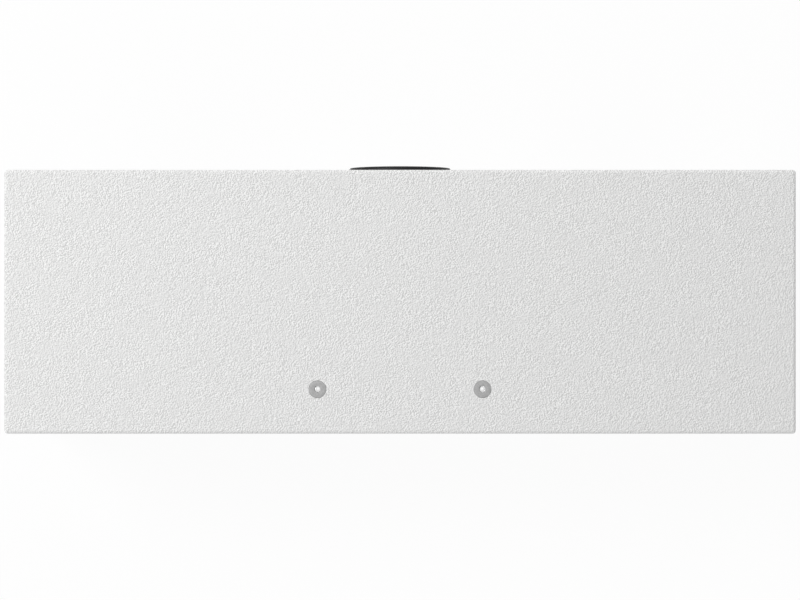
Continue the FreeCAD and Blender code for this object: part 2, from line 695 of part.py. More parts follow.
def woofer_moving_parts(side, place):
    """Surround, cone, dust cap, voice coil and spider."""
    surround = new_body(f"woofer_{side}_surround", **place)
    land_front = "-lip_height - surround_thickness"
    foot_front = "cone_rim_depth - surround_thickness"
    chord = f"sqrt((roll_outer - roll_inner) ^ 2 + ({foot_front} - ({land_front})) ^ 2)"
    back_start = "roll_outer - surround_thickness / 2"
    back_end = "roll_inner + surround_thickness"
    back_chord = f"sqrt(({back_start} - ({back_end})) ^ 2 + ({foot_front} + lip_height) ^ 2)"
    turn(surround, [
        ("lip_radius", land_front),
        ("roll_outer", land_front),
        ("roll_inner", foot_front, f"{chord} / 2 * surround_fullness", LEFT),
        ("cone_lip_radius", foot_front),
        ("cone_lip_radius", "cone_rim_depth"),
        (back_end, "cone_rim_depth"),
        (back_end, foot_front),
        (back_start, "-lip_height", f"{back_chord} / 2 * surround_fullness", RIGHT),
        ("lip_radius", "-lip_height"),
    ])

    cone = new_body(f"woofer_{side}_cone", **place)
    rib_chord = "(cone_rib_width * sqrt(1 + cone_slope ^ 2))"
    rib_bend = f"({rib_chord} ^ 2 / 4 + cone_rib_height ^ 2) / (2 * cone_rib_height)"
    ribs = []
    for step in range(int(DIMENSIONS["cone_rib_count"])):
        start = f"cone_rib_inset + cone_rib_spacing * {step}"
        end = f"{start} + cone_rib_width"
        ribs.append((f"cone_lip_radius - ({start})", f"cone_rim_depth + ({start}) * cone_slope"))
        ribs.append((f"cone_lip_radius - ({end})", f"cone_rim_depth + ({end}) * cone_slope", rib_bend, LEFT))
    turn(cone, [
        ("cone_rim_radius", "cone_rim_depth"),
        ("cone_lip_radius", "cone_rim_depth"),
        *ribs,
        ("neck_radius", "cone_neck_depth"),
        ("neck_radius", "cone_neck_depth + cone_neck_thickness"),
        ("cone_lip_radius", "cone_rim_depth + cone_thickness"),
        ("cone_rim_radius", "cone_rim_depth + cone_thickness"),
    ])

    cap = new_body(f"woofer_{side}_dust_cap", **place)
    inner_radius, inner_height = "(dust_cap_radius - dust_cap_wall)", "(dust_cap_height - dust_cap_wall)"
    turn(cap, [
        ("0", "dust_cap_depth - dust_cap_height"),
        ("dust_cap_radius", "dust_cap_depth",
         "(dust_cap_radius ^ 2 + dust_cap_height ^ 2) / (2 * dust_cap_height)", RIGHT),
        (inner_radius, "dust_cap_depth"),
        ("0", f"dust_cap_depth - {inner_height}",
         f"({inner_radius} ^ 2 + {inner_height} ^ 2) / (2 * {inner_height})", LEFT),
    ])

    coil = new_body(f"woofer_{side}_voice_coil", **place)
    turn(coil, [
        ("former_radius", "former_front_depth"),
        ("former_radius + former_wall", "former_front_depth"),
        ("former_radius + former_wall", "winding_depth"),
        ("winding_radius", "winding_depth"),
        ("winding_radius", "winding_depth + winding_length"),
        ("former_radius", "winding_depth + winding_length"),
    ])

    spider = new_body(f"woofer_{side}_spider", **place)
    start = "(former_radius + former_wall + running_gap)"
    land = "(spider_seat_radius - spider_seat_width)"
    edge = "spider_seat_radius - running_gap"
    waves = 2 * int(DIMENSIONS["spider_wave_count"])
    pitch = f"({land} - {start}) / {waves}"
    bend = f"(({pitch}) ^ 2 / 4 + (spider_wave_height / 2) ^ 2) / spider_wave_height"
    ways = (LEFT, RIGHT)
    back = [(edge, "spider_seat_depth"), (land, "spider_seat_depth")]
    front_depth = "spider_seat_depth - spider_thickness"
    front = [(start, front_depth)]
    for step in range(1, waves + 1):
        back.append((f"{land} - {pitch} * {step}", "spider_seat_depth", bend, ways[step % 2]))
        front.append((f"{start} + {pitch} * {step}", front_depth, bend, ways[step % 2]))
    turn(spider, back + front + [(edge, front_depth)])


def woofer_motor(side, place):
    """Ferrite ring magnet between a top plate and a back plate with a vented pole."""
    plate = new_body(f"woofer_{side}_top_plate", **place)
    turn(plate, [
        ("winding_radius + coil_gap", "motor_seat_depth"),
        ("top_plate_radius", "motor_seat_depth"),
        ("top_plate_radius", "magnet_depth"),
        ("winding_radius + coil_gap", "magnet_depth"),
    ])
    magnet = new_body(f"woofer_{side}_magnet", **place)
    turn(magnet, [
        ("magnet_bore", "magnet_depth"),
        ("magnet_radius", "magnet_depth"),
        ("magnet_radius", "back_plate_depth"),
        ("magnet_bore", "back_plate_depth"),
    ])
    back = new_body(f"woofer_{side}_back_plate", **place)
    rear = "back_plate_depth + back_plate_thickness"
    turn(back, [
        ("pole_vent_radius", "motor_seat_depth"),
        ("pole_radius", "motor_seat_depth"),
        ("pole_radius", "back_plate_depth"),
        ("top_plate_radius", "back_plate_depth"),
        ("top_plate_radius", f"{rear} - back_plate_chamfer"),
        ("top_plate_radius - back_plate_chamfer", rear),
        ("pole_vent_radius + back_plate_chamfer", rear),
        ("pole_vent_radius", f"{rear} - back_plate_chamfer"),
    ])


def woofers():
    """Both woofers with their trim rings, gaskets, screws and tag boards."""
    for side, sign in SIDES.items():
        place = {"x": f"woofer_offset * {sign}", "y": "woofer_front_y", "z": "axis_height"}
        woofer_basket(side, place)
        trim = new_body(f"woofer_{side}_trim_ring", **place)
        inner = "lip_radius + running_gap"
        turn(trim, [
            (inner, "0"),
            ("woofer_flange_radius", "0"),
            ("woofer_flange_radius", "trim_round - trim_thickness"),
            ("woofer_flange_radius - trim_round", "-trim_thickness", "trim_round", RIGHT),
            (f"{inner} + trim_round", "-trim_thickness"),
            (inner, "trim_round - trim_thickness", "trim_round", RIGHT),
        ])
        hole = turn(trim, countersink("-trim_thickness", "0", "screw_head_radius", "screw_head_depth",
                                      "screw_shank_radius + seat_gap"),
                    kind="Groove", across="woofer_screw_circle")
        repeat_round(trim, hole, "woofer_screw_count", (origin_feature(trim, "Y_Axis"), [""]))
        woofer_moving_parts(side, place)
        woofer_motor(side, place)

    gaskets = new_body("woofer_gaskets", y="woofer_front_y + woofer_flange_thickness", z="axis_height")
    rings = new_sketch(gaskets, "XZ_Plane")
    for sign in SIDES.values():
        add_circle(rings, f"woofer_offset * {sign}", "0", "woofer_flange_radius")
        add_circle(rings, f"woofer_offset * {sign}", "0", "woofer_cutout_radius")
    extrude(gaskets, rings, "woofer_gasket_thickness", reverse=True)
    screws = new_body("woofer_screws", y="woofer_front_y", z="axis_height")
    for sign in SIDES.values():
        hole = turn(gaskets, [
            ("0", "0"),
            ("screw_shank_radius + seat_gap", "0"),
            ("screw_shank_radius + seat_gap", "woofer_gasket_thickness"),
            ("0", "woofer_gasket_thickness"),
        ], kind="Groove", across=f"woofer_offset * {sign} + woofer_screw_circle")
        centre = new_sketch(gaskets, "XZ_Plane", across=f"woofer_offset * {sign}")
        repeat_round(gaskets, hole, "woofer_screw_count", (centre, ["N_Axis"]))
        screw = turn(screws, screw_profile("-trim_thickness", "screw_head_radius", "screw_head_depth",
                                           "screw_shank_radius", "screw_length"),
                     across=f"woofer_offset * {sign} + woofer_screw_circle")
        centre = new_sketch(screws, "XZ_Plane", across=f"woofer_offset * {sign}")
        repeat_round(screws, screw, "woofer_screw_count", (centre, ["N_Axis"]))
        socket = hex_socket(screws, "screw", "-trim_thickness",
                            f"woofer_offset * {sign} + woofer_screw_circle")
        repeat_round(screws, socket, "woofer_screw_count", (centre, ["N_Axis"]))

    # Tag boards hang under the motor seats, two blades each
    tags = new_body("woofer_tag_boards", y="woofer_front_y + motor_seat_depth - motor_seat_thickness",
                    z="axis_height")
    top = "-motor_seat_radius - running_gap"
    bottom = f"{top} - tag_height"
    boards = new_sketch(tags, "XZ_Plane")
    blades = new_sketch(tags, "XZ_Plane")
    for sign in SIDES.values():
        middle = f"woofer_offset * {sign}"
        add_rectangle(boards, f"{middle} - tag_width / 2", f"{middle} + tag_width / 2", bottom, top)
        for half in SIDES.values():
            blade = f"{middle} + blade_spacing / 2 * {half}"
            add_rectangle(blades, f"{blade} - blade_width / 2", f"{blade} + blade_width / 2",
                          f"{bottom} - blade_length", f"{bottom} + blade_length / 2")
    extrude(tags, boards, "tag_thickness", reverse=True)
    extrude(tags, blades, "blade_thickness")


def tweeter():
    """Surface-mounted waveguide tweeter with a soft dome."""
    place = {"y": "front_y", "z": "axis_height"}
    guide = new_body("tweeter_waveguide", **place)
    horn_width = "(tweeter_mouth_radius - tweeter_throat_radius)"
    horn_depth = "(tweeter_proud + tweeter_throat_depth)"
    gasket_inner = "tweeter_cutout_radius + running_gap"
    gasket_outer = f"{gasket_inner} + tweeter_gasket_width"
    turn(guide, [
        ("tweeter_face_radius", "0"),
        ("tweeter_face_radius", "tweeter_edge_round - tweeter_proud"),
        ("tweeter_face_radius - tweeter_edge_round", "-tweeter_proud", "tweeter_edge_round", RIGHT),
        ("tweeter_mouth_radius", "-tweeter_proud"),
        ("tweeter_throat_radius", "tweeter_throat_depth",
         f"({horn_width} ^ 2 + {horn_depth} ^ 2) / (2 * {horn_depth})", LEFT),
        ("tweeter_throat_radius", "tweeter_boss_depth"),
        ("tweeter_boss_radius", "tweeter_boss_depth"),
        ("tweeter_boss_radius", "-tweeter_gasket_thickness"),
        (f"{gasket_outer} + running_gap", "-tweeter_gasket_thickness"),
        (f"{gasket_outer} + running_gap", "0"),
    ])
    hole = turn(guide, countersink("-tweeter_proud", "0", "small_head_radius", "small_head_depth",
                                   "small_shank_radius + seat_gap"), kind="Groove")
    tilt_to_corner(hole)
    repeat_round(guide, hole, "tweeter_screw_count", (origin_feature(guide, "Y_Axis"), [""]))
    gasket = new_body("tweeter_gasket", **place)
    turn(gasket, [
        (gasket_inner, "-tweeter_gasket_thickness"),
        (gasket_outer, "-tweeter_gasket_thickness"),
        (gasket_outer, "0"),
        (gasket_inner, "0"),
    ])
    hole = turn(gasket, [
        ("0", "-tweeter_gasket_thickness"),
        ("small_shank_radius + seat_gap", "-tweeter_gasket_thickness"),
        ("small_shank_radius + seat_gap", "0"),
        ("0", "0"),
    ], kind="Groove")
    tilt_to_corner(hole)
    repeat_round(gasket, hole, "tweeter_screw_count", (origin_feature(gasket, "Y_Axis"), [""]))
    screws = new_body("tweeter_screws", **place)
    screw = turn(screws, screw_profile("-tweeter_proud", "small_head_radius", "small_head_depth",
                                       "small_shank_radius", "small_length"))
    tilt_to_corner(screw)
    repeat_round(screws, screw, "tweeter_screw_count", (origin_feature(screws, "Y_Axis"), [""]))
    socket = hex_socket(screws, "small", "-tweeter_proud", "tweeter_screw_circle * cos(45)",
                        "tweeter_screw_circle * sin(45)")
    repeat_round(screws, socket, "tweeter_screw_count", (origin_feature(screws, "Y_Axis"), [""]))

    dome = new_body("tweeter_dome", **place)
    inner_height = "(dome_height - dome_wall)"
    inner_radius = "(dome_radius - dome_wall)"
    turn(dome, [
        ("0", "dome_depth - dome_height"),
        ("dome_radius", "dome_depth", "(dome_radius ^ 2 + dome_height ^ 2) / (2 * dome_height)", RIGHT),
        ("dome_radius + dome_roll", "dome_depth", "dome_roll * dome_roll_fullness", RIGHT),
        ("dome_outer_radius", "dome_depth"),
        ("dome_outer_radius", "dome_depth + dome_wall"),
        (inner_radius, "dome_depth + dome_wall"),
        ("0", "dome_depth - dome_height + dome_wall",
         f"({inner_radius} ^ 2 + dome_height ^ 2) / (2 * dome_height)", LEFT),
    ])
    coil = new_body("tweeter_voice_coil", **place)
    former = "dome_radius - tweeter_winding_thickness - tweeter_former_wall"
    start, winding = "dome_depth + dome_wall", "dome_depth + dome_wall + running_gap"
    turn(coil, [
        (former, start),
        (f"{former} + tweeter_former_wall", start),
        (f"{former} + tweeter_former_wall", winding),
        ("dome_radius", winding),
        ("dome_radius", f"{winding} + tweeter_winding_length"),
        (f"{former} + tweeter_former_wall", f"{winding} + tweeter_winding_length"),
        (f"{former} + tweeter_former_wall", f"{start} + tweeter_former_length"),
        (former, f"{start} + tweeter_former_length"),
    ])
    plate = new_body("tweeter_top_plate", **place)
    turn(plate, [
        ("dome_radius + tweeter_coil_gap", "tweeter_boss_depth"),
        ("tweeter_plate_radius", "tweeter_boss_depth"),
        ("tweeter_plate_radius", "tweeter_magnet_depth"),
        ("dome_radius + tweeter_coil_gap", "tweeter_magnet_depth"),
    ])
    magnet = new_body("tweeter_magnet", **place)
    turn(magnet, [
        ("tweeter_magnet_bore", "tweeter_magnet_depth"),
        ("tweeter_magnet_radius", "tweeter_magnet_depth"),
        ("tweeter_magnet_radius", "tweeter_back_depth"),
        ("tweeter_magnet_bore", "tweeter_back_depth"),
    ])
    back = new_body("tweeter_back_plate", **place)
    pole = f"{former} - tweeter_coil_gap"
    rear = "tweeter_back_depth + tweeter_plate_thickness"
    turn(back, [
        ("tweeter_vent_radius", "tweeter_boss_depth"),
        (pole, "tweeter_boss_depth"),
        (pole, "tweeter_back_depth"),
        ("tweeter_plate_radius", "tweeter_back_depth"),
        ("tweeter_plate_radius", rear),
        ("tweeter_vent_radius", rear),
    ])


def ports():
    """Two moulded port tubes, flared at the rear face and let in flush."""
    for side, sign in SIDES.items():
        body = new_body(f"port_tube_{side}", x=f"port_offset * {sign}", y="rear_y", z="axis_height")
        outer = "port_radius + port_wall"
        turn(body, [
            ("port_flange_radius", "0"),
            ("port_radius + port_flare", "0"),
            ("port_radius", "-port_flare", "port_flare", RIGHT),
            ("port_radius", "port_wall / 2 - port_length"),
            (outer, "port_wall / 2 - port_length", "port_wall * port_rim_fullness", RIGHT),
            (outer, "-port_flare"),
            ("port_radius + port_flare", "-port_wall", "port_flare - port_wall", LEFT),
            ("port_flange_radius", "-port_wall"),
        ])


def terminals():
    """Moulded terminal cup with two binding posts."""
    cup = new_body("terminal_cup", y="rear_y", z="axis_height")
    flange = new_sketch(cup, "XZ_Plane")
    add_rounded(flange, "cup_width", "cup_height", "cup_corner")
    extrude(cup, flange, "cup_flange_thickness")
    bucket = new_sketch(cup, "XZ_Plane")
    add_rounded(bucket, "cup_body_width", "cup_body_height", "cup_corner")
    extrude(cup, bucket, "cup_depth")
    hollow = new_sketch(cup, "XZ_Plane")
    add_rounded(hollow, "cup_body_width - 2 * cup_wall", "cup_body_height - 2 * cup_wall",
                "cup_corner - cup_wall")
    extrude(cup, hollow, "cup_depth - cup_floor", "Pocket", reverse=True)
    reach, rise = value("cup_body_width / 2"), value("cup_body_height / 2")
    dress(cup, "Fillet", "cup_mouth_round",
          lambda edge: lies_at(edge, 1, 0) and edge.BoundBox.XMax < reach and edge.BoundBox.XMin > -reach
          and edge.BoundBox.ZMax < rise and edge.BoundBox.ZMin > -rise)
    holes = new_sketch(cup, "XZ_Plane")
    for sign in SIDES.values():
        add_circle(holes, f"post_spacing / 2 * {sign}", "0", "post_shaft_radius + seat_gap")
    extrude(cup, holes, "cup_depth", "Pocket", reverse=True)
    screws = new_body("terminal_screws", y="rear_y", z="axis_height")
    for across in SIDES.values():
        for up in SIDES.values():
            place = {"across": f"(cup_width / 2 - cup_screw_inset) * {across}"}
            level = f"(cup_height / 2 - cup_screw_inset) * {up}"
            recess = countersink("0", "-cup_flange_thickness", "small_head_radius", "small_head_depth",
                                 "small_shank_radius + seat_gap", way=-1)
            hole = turn(cup, recess, kind="Groove", **place)
            hole.Profile[0].setExpression("AttachmentOffset.Base.z", bound(level))
            screw = turn(screws, screw_profile("0", "small_head_radius", "small_head_depth",
                                               "small_shank_radius", "small_length", way=-1), **place)
            screw.Profile[0].setExpression("AttachmentOffset.Base.z", bound(level))
            hex_socket(screws, "small", "0", place["across"], level, reverse=True)

    shafts = new_body("binding_post_shafts", y="post_floor_y", z="axis_height")
    middle = "post_spacing / 2"
    shaft = turn(shafts, [
        ("0", "-cup_floor - post_tail_length"),
        ("post_shaft_radius", "-cup_floor - post_tail_length"),
        ("post_shaft_radius", "post_shaft_length"),
        ("post_socket_radius", "post_shaft_length"),
        ("post_socket_radius", "post_collar_height + post_socket_floor"),
        ("0", "post_collar_height + post_socket_floor"),
    ], across=middle)
    mirror(shafts, shaft)
    wire_holes = new_sketch(shafts, "XY_Plane")
    for sign in SIDES.values():
        add_circle(wire_holes, f"{middle} * {sign}", "post_cap_start + post_wire_hole_radius + running_gap",
                   "post_wire_hole_radius")
    extrude(shafts, wire_holes, "4 * post_shaft_radius", "Pocket", both_ways=True)

    nuts = new_body("binding_post_nuts", y="post_floor_y - cup_floor", z="axis_height")
    hexagons = new_sketch(nuts, "XZ_Plane")
    for sign in SIDES.values():
        centre = f"{middle} * {sign}"
        add_hexagon(hexagons, "post_nut_radius", centre)
        add_circle(hexagons, centre, "0", "post_shaft_radius + seat_gap")
    extrude(nuts, hexagons, "post_nut_thickness")

    for colour, sign in (("red", 1), ("black", -1)):
        place = {"x": f"{middle} * {sign}", "y": "post_floor_y", "z": "axis_height"}
        bore = "post_shaft_radius + running_gap"
        collar = new_body(f"binding_post_collar_{colour}", **place)
        turn(collar, [
            (bore, "0"),
            ("post_collar_radius", "0"),
            ("post_collar_radius", "post_collar_height"),
            (bore, "post_collar_height"),
        ])
        core = new_body(f"binding_post_core_{colour}", **place)
        turn(core, [
            (bore, "post_cap_start"),
            ("post_core_radius", "post_cap_start"),
            ("post_core_radius", "post_cap_start + post_core_length"),
            (bore, "post_cap_start + post_core_length"),
        ])
        cap = new_body(f"binding_post_cap_{colour}", **place)
        end = "post_cap_start + post_cap_length"
        turn(cap, [
            ("post_core_radius + running_gap", "post_cap_start"),
            ("post_cap_radius", "post_cap_start"),
            ("post_cap_radius", f"{end} - post_cap_groove_radius"),
            ("post_cap_radius - post_cap_groove_radius", end, "post_cap_groove_radius", LEFT),
            (bore, end),
            (bore, f"{end} - post_cap_front"),
            ("post_core_radius + running_gap", f"{end} - post_cap_front"),
        ])
        flutes = new_sketch(cap, "XZ_Plane", level="post_cap_start")
        add_circle(flutes, "post_cap_radius", "0", "post_cap_groove_radius")
        flute = extrude(cap, flutes, "post_cap_length", "Pocket")
        repeat_round(cap, flute, "post_cap_groove_count", (flutes, ["N_Axis"]))


def crossover():
    """Circuit board on four pillars, with two wound bobbins, three capacitors and two resistors."""
    board = new_body("crossover_board", y="board_setback", z="board_floor")
    outline = new_sketch(board, "XY_Plane")
    add_rounded(outline, "board_width", "board_depth", "board_corner")
    pillars = new_body("crossover_pillars", y="board_setback", z="inner_floor")
    pillar_feet = new_sketch(pillars, "XY_Plane")
    pillar_pins = new_sketch(pillars, "XY_Plane")
    for across in SIDES.values():
        for along in SIDES.values():
            spot = (f"(board_width / 2 - pillar_inset) * {across}",
                    f"(board_depth / 2 - pillar_inset) * {along}")
            add_circle(outline, *spot, "pillar_pin_radius + seat_gap")
            add_circle(pillar_feet, *spot, "pillar_radius")
            add_circle(pillar_pins, *spot, "pillar_pin_radius")
    extrude(board, outline, "board_thickness")
    extrude(pillars, pillar_feet, "pillar_height")
    extrude(pillars, pillar_pins, "pillar_height + 2 * board_thickness")

    bobbins = new_body("crossover_bobbins", y="board_setback", z="board_top")
    coils = new_body("crossover_coils", y="board_setback", z="board_top")
    core = "coil_hole_radius + bobbin_wall"
    for radius, height, along in (
        ("coil_radius", "coil_height", "-coil_forward"),
        ("small_coil_radius", "small_coil_height", "coil_spacing - coil_forward"),
    ):
        rim = f"{radius} + bobbin_flange"
        bobbin = turn(bobbins, [
            ("coil_hole_radius", "0"),
            (rim, "0"),
            (rim, "bobbin_flange"),
            (core, "bobbin_flange"),
            (core, f"{height} - bobbin_flange"),
            (rim, f"{height} - bobbin_flange"),
            (rim, height),
            ("coil_hole_radius", height),
        ], role="XZ_Plane", across="-coil_left")
        winding = turn(coils, [
            (f"{core} + seat_gap", "bobbin_flange + seat_gap"),
            (radius, "bobbin_flange + seat_gap"),
            (radius, f"{height} - bobbin_flange - seat_gap"),
            (f"{core} + seat_gap", f"{height} - bobbin_flange - seat_gap"),
        ], role="XZ_Plane", across="-coil_left")
        for piece in (bobbin, winding):
            piece.Profile[0].setExpression("AttachmentOffset.Base.z", bound(f"-({along})"))

    capacitors = new_body("crossover_capacitors", y="board_setback", z="board_top + capacitor_radius")
    half = "capacitor_length / 2"
    capacitor = turn(capacitors, [
        ("0", f"-{half}"),
        ("capacitor_radius - capacitor_round", f"-{half}"),
        ("capacitor_radius", f"capacitor_round - {half}", "capacitor_round", RIGHT),
        ("capacitor_radius", f"{half} - capacitor_round"),
        ("capacitor_radius - capacitor_round", half, "capacitor_round", RIGHT),
        ("0", half),
    ], across="capacitor_radius / 2", up=f"-{half} / 2")
    repeat_along(capacitors, capacitor, "capacitor_count", "capacitor_spacing", "X_Axis")

    resistors = new_body("crossover_resistors", y="board_setback", z="board_top")
    block = new_sketch(resistors, "XY_Plane")
    add_rectangle(block, "0", "resistor_width", f"{half} / 2 + resistor_depth",
                  f"{half} / 2 + 2 * resistor_depth")
    bar = extrude(resistors, block, "resistor_height")
    repeat_along(resistors, bar, "resistor_count", "resistor_spacing", "Y_Axis")


def damping():
    """A pad of wadding against each end panel."""
    pads = new_body("damping_pads", z="axis_height")
    for sign in SIDES.values():
        sketch = new_sketch(pads, "YZ_Plane",
                            level=f"(inner_width / 2 - running_gap - damping_thickness / 2) * {sign}")
        add_rectangle(sketch, "inner_front_y + running_gap", "inner_rear_y - running_gap",
                      "running_gap - inner_height / 2", "inner_height / 2 - running_gap")
        extrude(pads, sketch, "damping_thickness", both_ways=True)


cabinet()
front_baffle()
rear_panel()
feet()
inserts()
woofers()
tweeter()
ports()
terminals()
crossover()
damping()
doc.recompute()

for thing in doc.Objects:
    if "Invalid" in thing.State or "Error" in thing.State:
        raise RuntimeError(f"{thing.Label} did not build: {thing.State}")
for body in nodes:
    if body.Shape.isNull() or not body.Shape.isValid():
        raise RuntimeError(f"{body.Label} has no valid shape")

os.makedirs("parts", exist_ok=True)
for body in nodes:
    body.Shape.exportStep(f"parts/{body.Label}.step")
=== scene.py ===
import math

import bmesh
import bpy
from mathutils import Euler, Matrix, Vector


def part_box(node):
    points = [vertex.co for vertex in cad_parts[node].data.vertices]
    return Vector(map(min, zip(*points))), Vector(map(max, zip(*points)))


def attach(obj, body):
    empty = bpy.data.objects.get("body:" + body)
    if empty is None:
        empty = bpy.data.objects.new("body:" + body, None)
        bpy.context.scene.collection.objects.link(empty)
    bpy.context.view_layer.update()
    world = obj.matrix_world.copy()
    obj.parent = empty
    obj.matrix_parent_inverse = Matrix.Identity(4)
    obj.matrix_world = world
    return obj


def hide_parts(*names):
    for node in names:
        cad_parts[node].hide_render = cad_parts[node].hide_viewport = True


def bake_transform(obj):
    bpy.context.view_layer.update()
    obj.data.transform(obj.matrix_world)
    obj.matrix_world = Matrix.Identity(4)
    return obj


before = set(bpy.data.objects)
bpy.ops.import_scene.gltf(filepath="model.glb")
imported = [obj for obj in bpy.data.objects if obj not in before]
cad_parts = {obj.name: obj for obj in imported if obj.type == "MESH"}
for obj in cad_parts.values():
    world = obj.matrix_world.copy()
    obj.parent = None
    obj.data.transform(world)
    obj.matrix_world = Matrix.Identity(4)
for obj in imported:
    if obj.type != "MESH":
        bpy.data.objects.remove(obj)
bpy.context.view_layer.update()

# Cabinet boards
# Fibreboard panels, glued and rounded over at the edges, then sprayed white. The paint dries to pebbles,
# calmer in some patches, whose flank away from the key lamp is painted grey as shade. Filled joints
# don't show.


class Wire:
    """One output of a node. Arithmetic on wires adds Math nodes to the same tree."""

    def __init__(self, tree, socket):
        self.tree = tree
        self.socket = socket

    def node(self, kind, settings, inputs, result=0):
        """Adds a node: its settings first, then its inputs, from values or wires."""
        made = self.tree.nodes.new(kind)
        for name, setting in settings.items():
            setattr(made, name, setting)
        feed(made, inputs)
        return Wire(self.tree, made.outputs[result])

    def maths(self, operation, *terms):
        return self.node("ShaderNodeMath", {"operation": operation}, dict(enumerate(terms)))

    def __add__(self, other):
        return self.maths("ADD", self, other)

    def __sub__(self, other):
        return self.maths("SUBTRACT", self, other)

    def __rsub__(self, other):
        return self.maths("SUBTRACT", other, self)

    def __mul__(self, other):
        return self.maths("MULTIPLY", self, other)

    def __pow__(self, other):
        return self.maths("POWER", self, other)

    def __rpow__(self, other):
        return self.maths("POWER", other, self)

    __radd__ = __add__
    __rmul__ = __mul__


def feed(node, inputs):
    """Sets a node's inputs, by name or number, from values or wires."""
    for key, source in inputs.items():
        if isinstance(source, Wire):
            source.tree.links.new(source.socket, node.inputs[key])
        else:
            node.inputs[key].default_value = source


def new_finish(name):
    """A fresh material with its surface shader and a wire of Object coordinates."""
    material = bpy.data.materials.new(name)
    material.use_nodes = True
    tree = material.node_tree
    place = tree.nodes.new("ShaderNodeTexCoord").outputs["Object"]
    return material, tree.nodes["Principled BSDF"], Wire(tree, place)


def noise(place, scale, detail=2.0, roughness=0.5):
    """Soft cloudy variation, about 1 / scale metres across."""
    return place.node("ShaderNodeTexNoise", {}, {
        "Vector": place, "Scale": scale, "Detail": detail, "Roughness": roughness})


def swirls(place, scale, distortion, detail=0.0):
    """Noise drawn out into short curling strokes."""
    return place.node("ShaderNodeTexNoise", {}, {
        "Vector": place, "Scale": scale, "Detail": detail, "Roughness": 0.6,
        "Distortion": distortion})


def shifted(place, step):
    """The same place, moved by a step."""
    return place.node("ShaderNodeVectorMath", {"operation": "ADD"}, {0: place, 1: step})


def ramp(wire, low, high, start=0.0, end=1.0):
    """The wire stretched from low..high to start..end and held there."""
    return wire.node("ShaderNodeMapRange", {"clamp": True}, {
        "Value": wire, "From Min": low, "From Max": high, "To Min": start, "To Max": end})


def magnitude(wire):
    """The wire without its sign."""
    return wire.maths("ABSOLUTE", wire)


def mixed(share, first, second):
    """A colour between two others."""
    return share.node(
        "ShaderNodeMix", {"data_type": "RGBA"}, {0: share, 6: first, 7: second}, result=2)


def between(share, first, second):
    """A vector between two others."""
    return share.node(
        "ShaderNodeMix", {"data_type": "VECTOR"}, {0: share, 4: first, 5: second}, result=1)


def relief(height, depth, strength=1.0):
    """A normal that follows a height, depth metres from 0 to 1."""
    return height.node("ShaderNodeBump", {}, {
        "Height": height, "Distance": depth, "Strength": strength})


def axes(place):
    """The x, y and z of a place as three wires."""
    split = place.tree.nodes.new("ShaderNodeSeparateXYZ")
    feed(split, {0: place})
    return [Wire(place.tree, split.outputs[k]) for k in range(3)]


def corners_of(node):
    """The lowest and the highest corner of a CAD node."""
    return [Vector(corner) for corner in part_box(node)]


def dress(material, *nodes):
    """Gives CAD nodes their finish."""
    for node in nodes:
        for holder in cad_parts[node].material_slots:
            holder.material = material


MM = 0.001

PAINT_WHITE = (0.938, 0.938, 0.934, 1)
# The grey is painted shade, for the pebbles' flanks that face away from the key lamp.
PAINT_SHADE_GREY = (0.625, 0.625, 0.621, 1)
PEBBLES_PER_METRE = 900
PEBBLE_CURL = 0.5
SHADE_REACH = 0.72 * MM
SHADE_WAY = Vector((0.92, -0.38, 0.30))
END_SHADE_WAY = Vector((0.30, 0.92, 0.38))
END_BAND = 1.0 * MM
SHADE_RANGE = 0.12
end_x = corners_of("cabinet_side_right")[1].x
paint, skin, place = new_finish("pebbled_white_paint")
x = axes(place)[0]
on_end = ramp(magnitude(x), end_x - END_BAND, end_x)
# Painted shade: the pebbles are sampled again a step towards the key lamp (another way on the end
# panels), and where they rise that way the colour turns grey.
shade_step = between(on_end, SHADE_WAY * SHADE_REACH, END_SHADE_WAY * SHADE_REACH)
pebbles = swirls(place, PEBBLES_PER_METRE, PEBBLE_CURL)
shade_probe = swirls(shifted(place, shade_step), PEBBLES_PER_METRE, PEBBLE_CURL)
calm = ramp(noise(place, scale=70, detail=1.0), 0.4, 0.6, 0.4, 1.0)
painted_flank_shade = (pebbles - shade_probe) * calm
feed(skin, {
    "Base Color": mixed(ramp(painted_flank_shade, -SHADE_RANGE, SHADE_RANGE), PAINT_SHADE_GREY, PAINT_WHITE),
    "Roughness": ramp(pebbles, 0.3, 0.7, 0.42, 0.58),
    "Normal": relief(pebbles, depth=0.6 * MM, strength=0.7),
})
dress(paint, "cabinet_top", "cabinet_bottom", "cabinet_side_left", "cabinet_side_right",
      "front_baffle", "rear_panel")

BOARD_TAN = (0.38, 0.25, 0.13, 1)
BOARD_DARK = (0.24, 0.15, 0.075, 1)
bare, skin, place = new_finish("bare_fibreboard")
fibres = noise(place, scale=900, detail=6.0, roughness=0.7)
feed(skin, {
    "Base Color": mixed(ramp(fibres, 0.35, 0.65), BOARD_DARK, BOARD_TAN),
    "Roughness": 0.9,
    "Normal": relief(fibres, depth=0.2 * MM, strength=0.5),
})
dress(bare, "cabinet_braces")

# Rubber feet
# Four turned discs of grey rubber, glued under the corners. The rubber is dull, with a fine
# moulded grain and a little dust.
RUBBER_GREY = (0.035, 0.035, 0.036, 1)
RUBBER_DUST = (0.075, 0.073, 0.07, 1)
rubber, skin, place = new_finish("grey_foot_rubber")
grain = noise(place, scale=1800, detail=3.0)
dust = ramp(noise(place, scale=90, detail=4.0), 0.4, 0.75)
feed(skin, {
    "Base Color": mixed(dust, RUBBER_GREY, RUBBER_DUST),
    "Roughness": ramp(grain, 0.3, 0.7, 0.7, 0.9),
    "Normal": relief(grain, depth=0.15 * MM, strength=0.4),
})
dress(rubber, "rubber_feet")
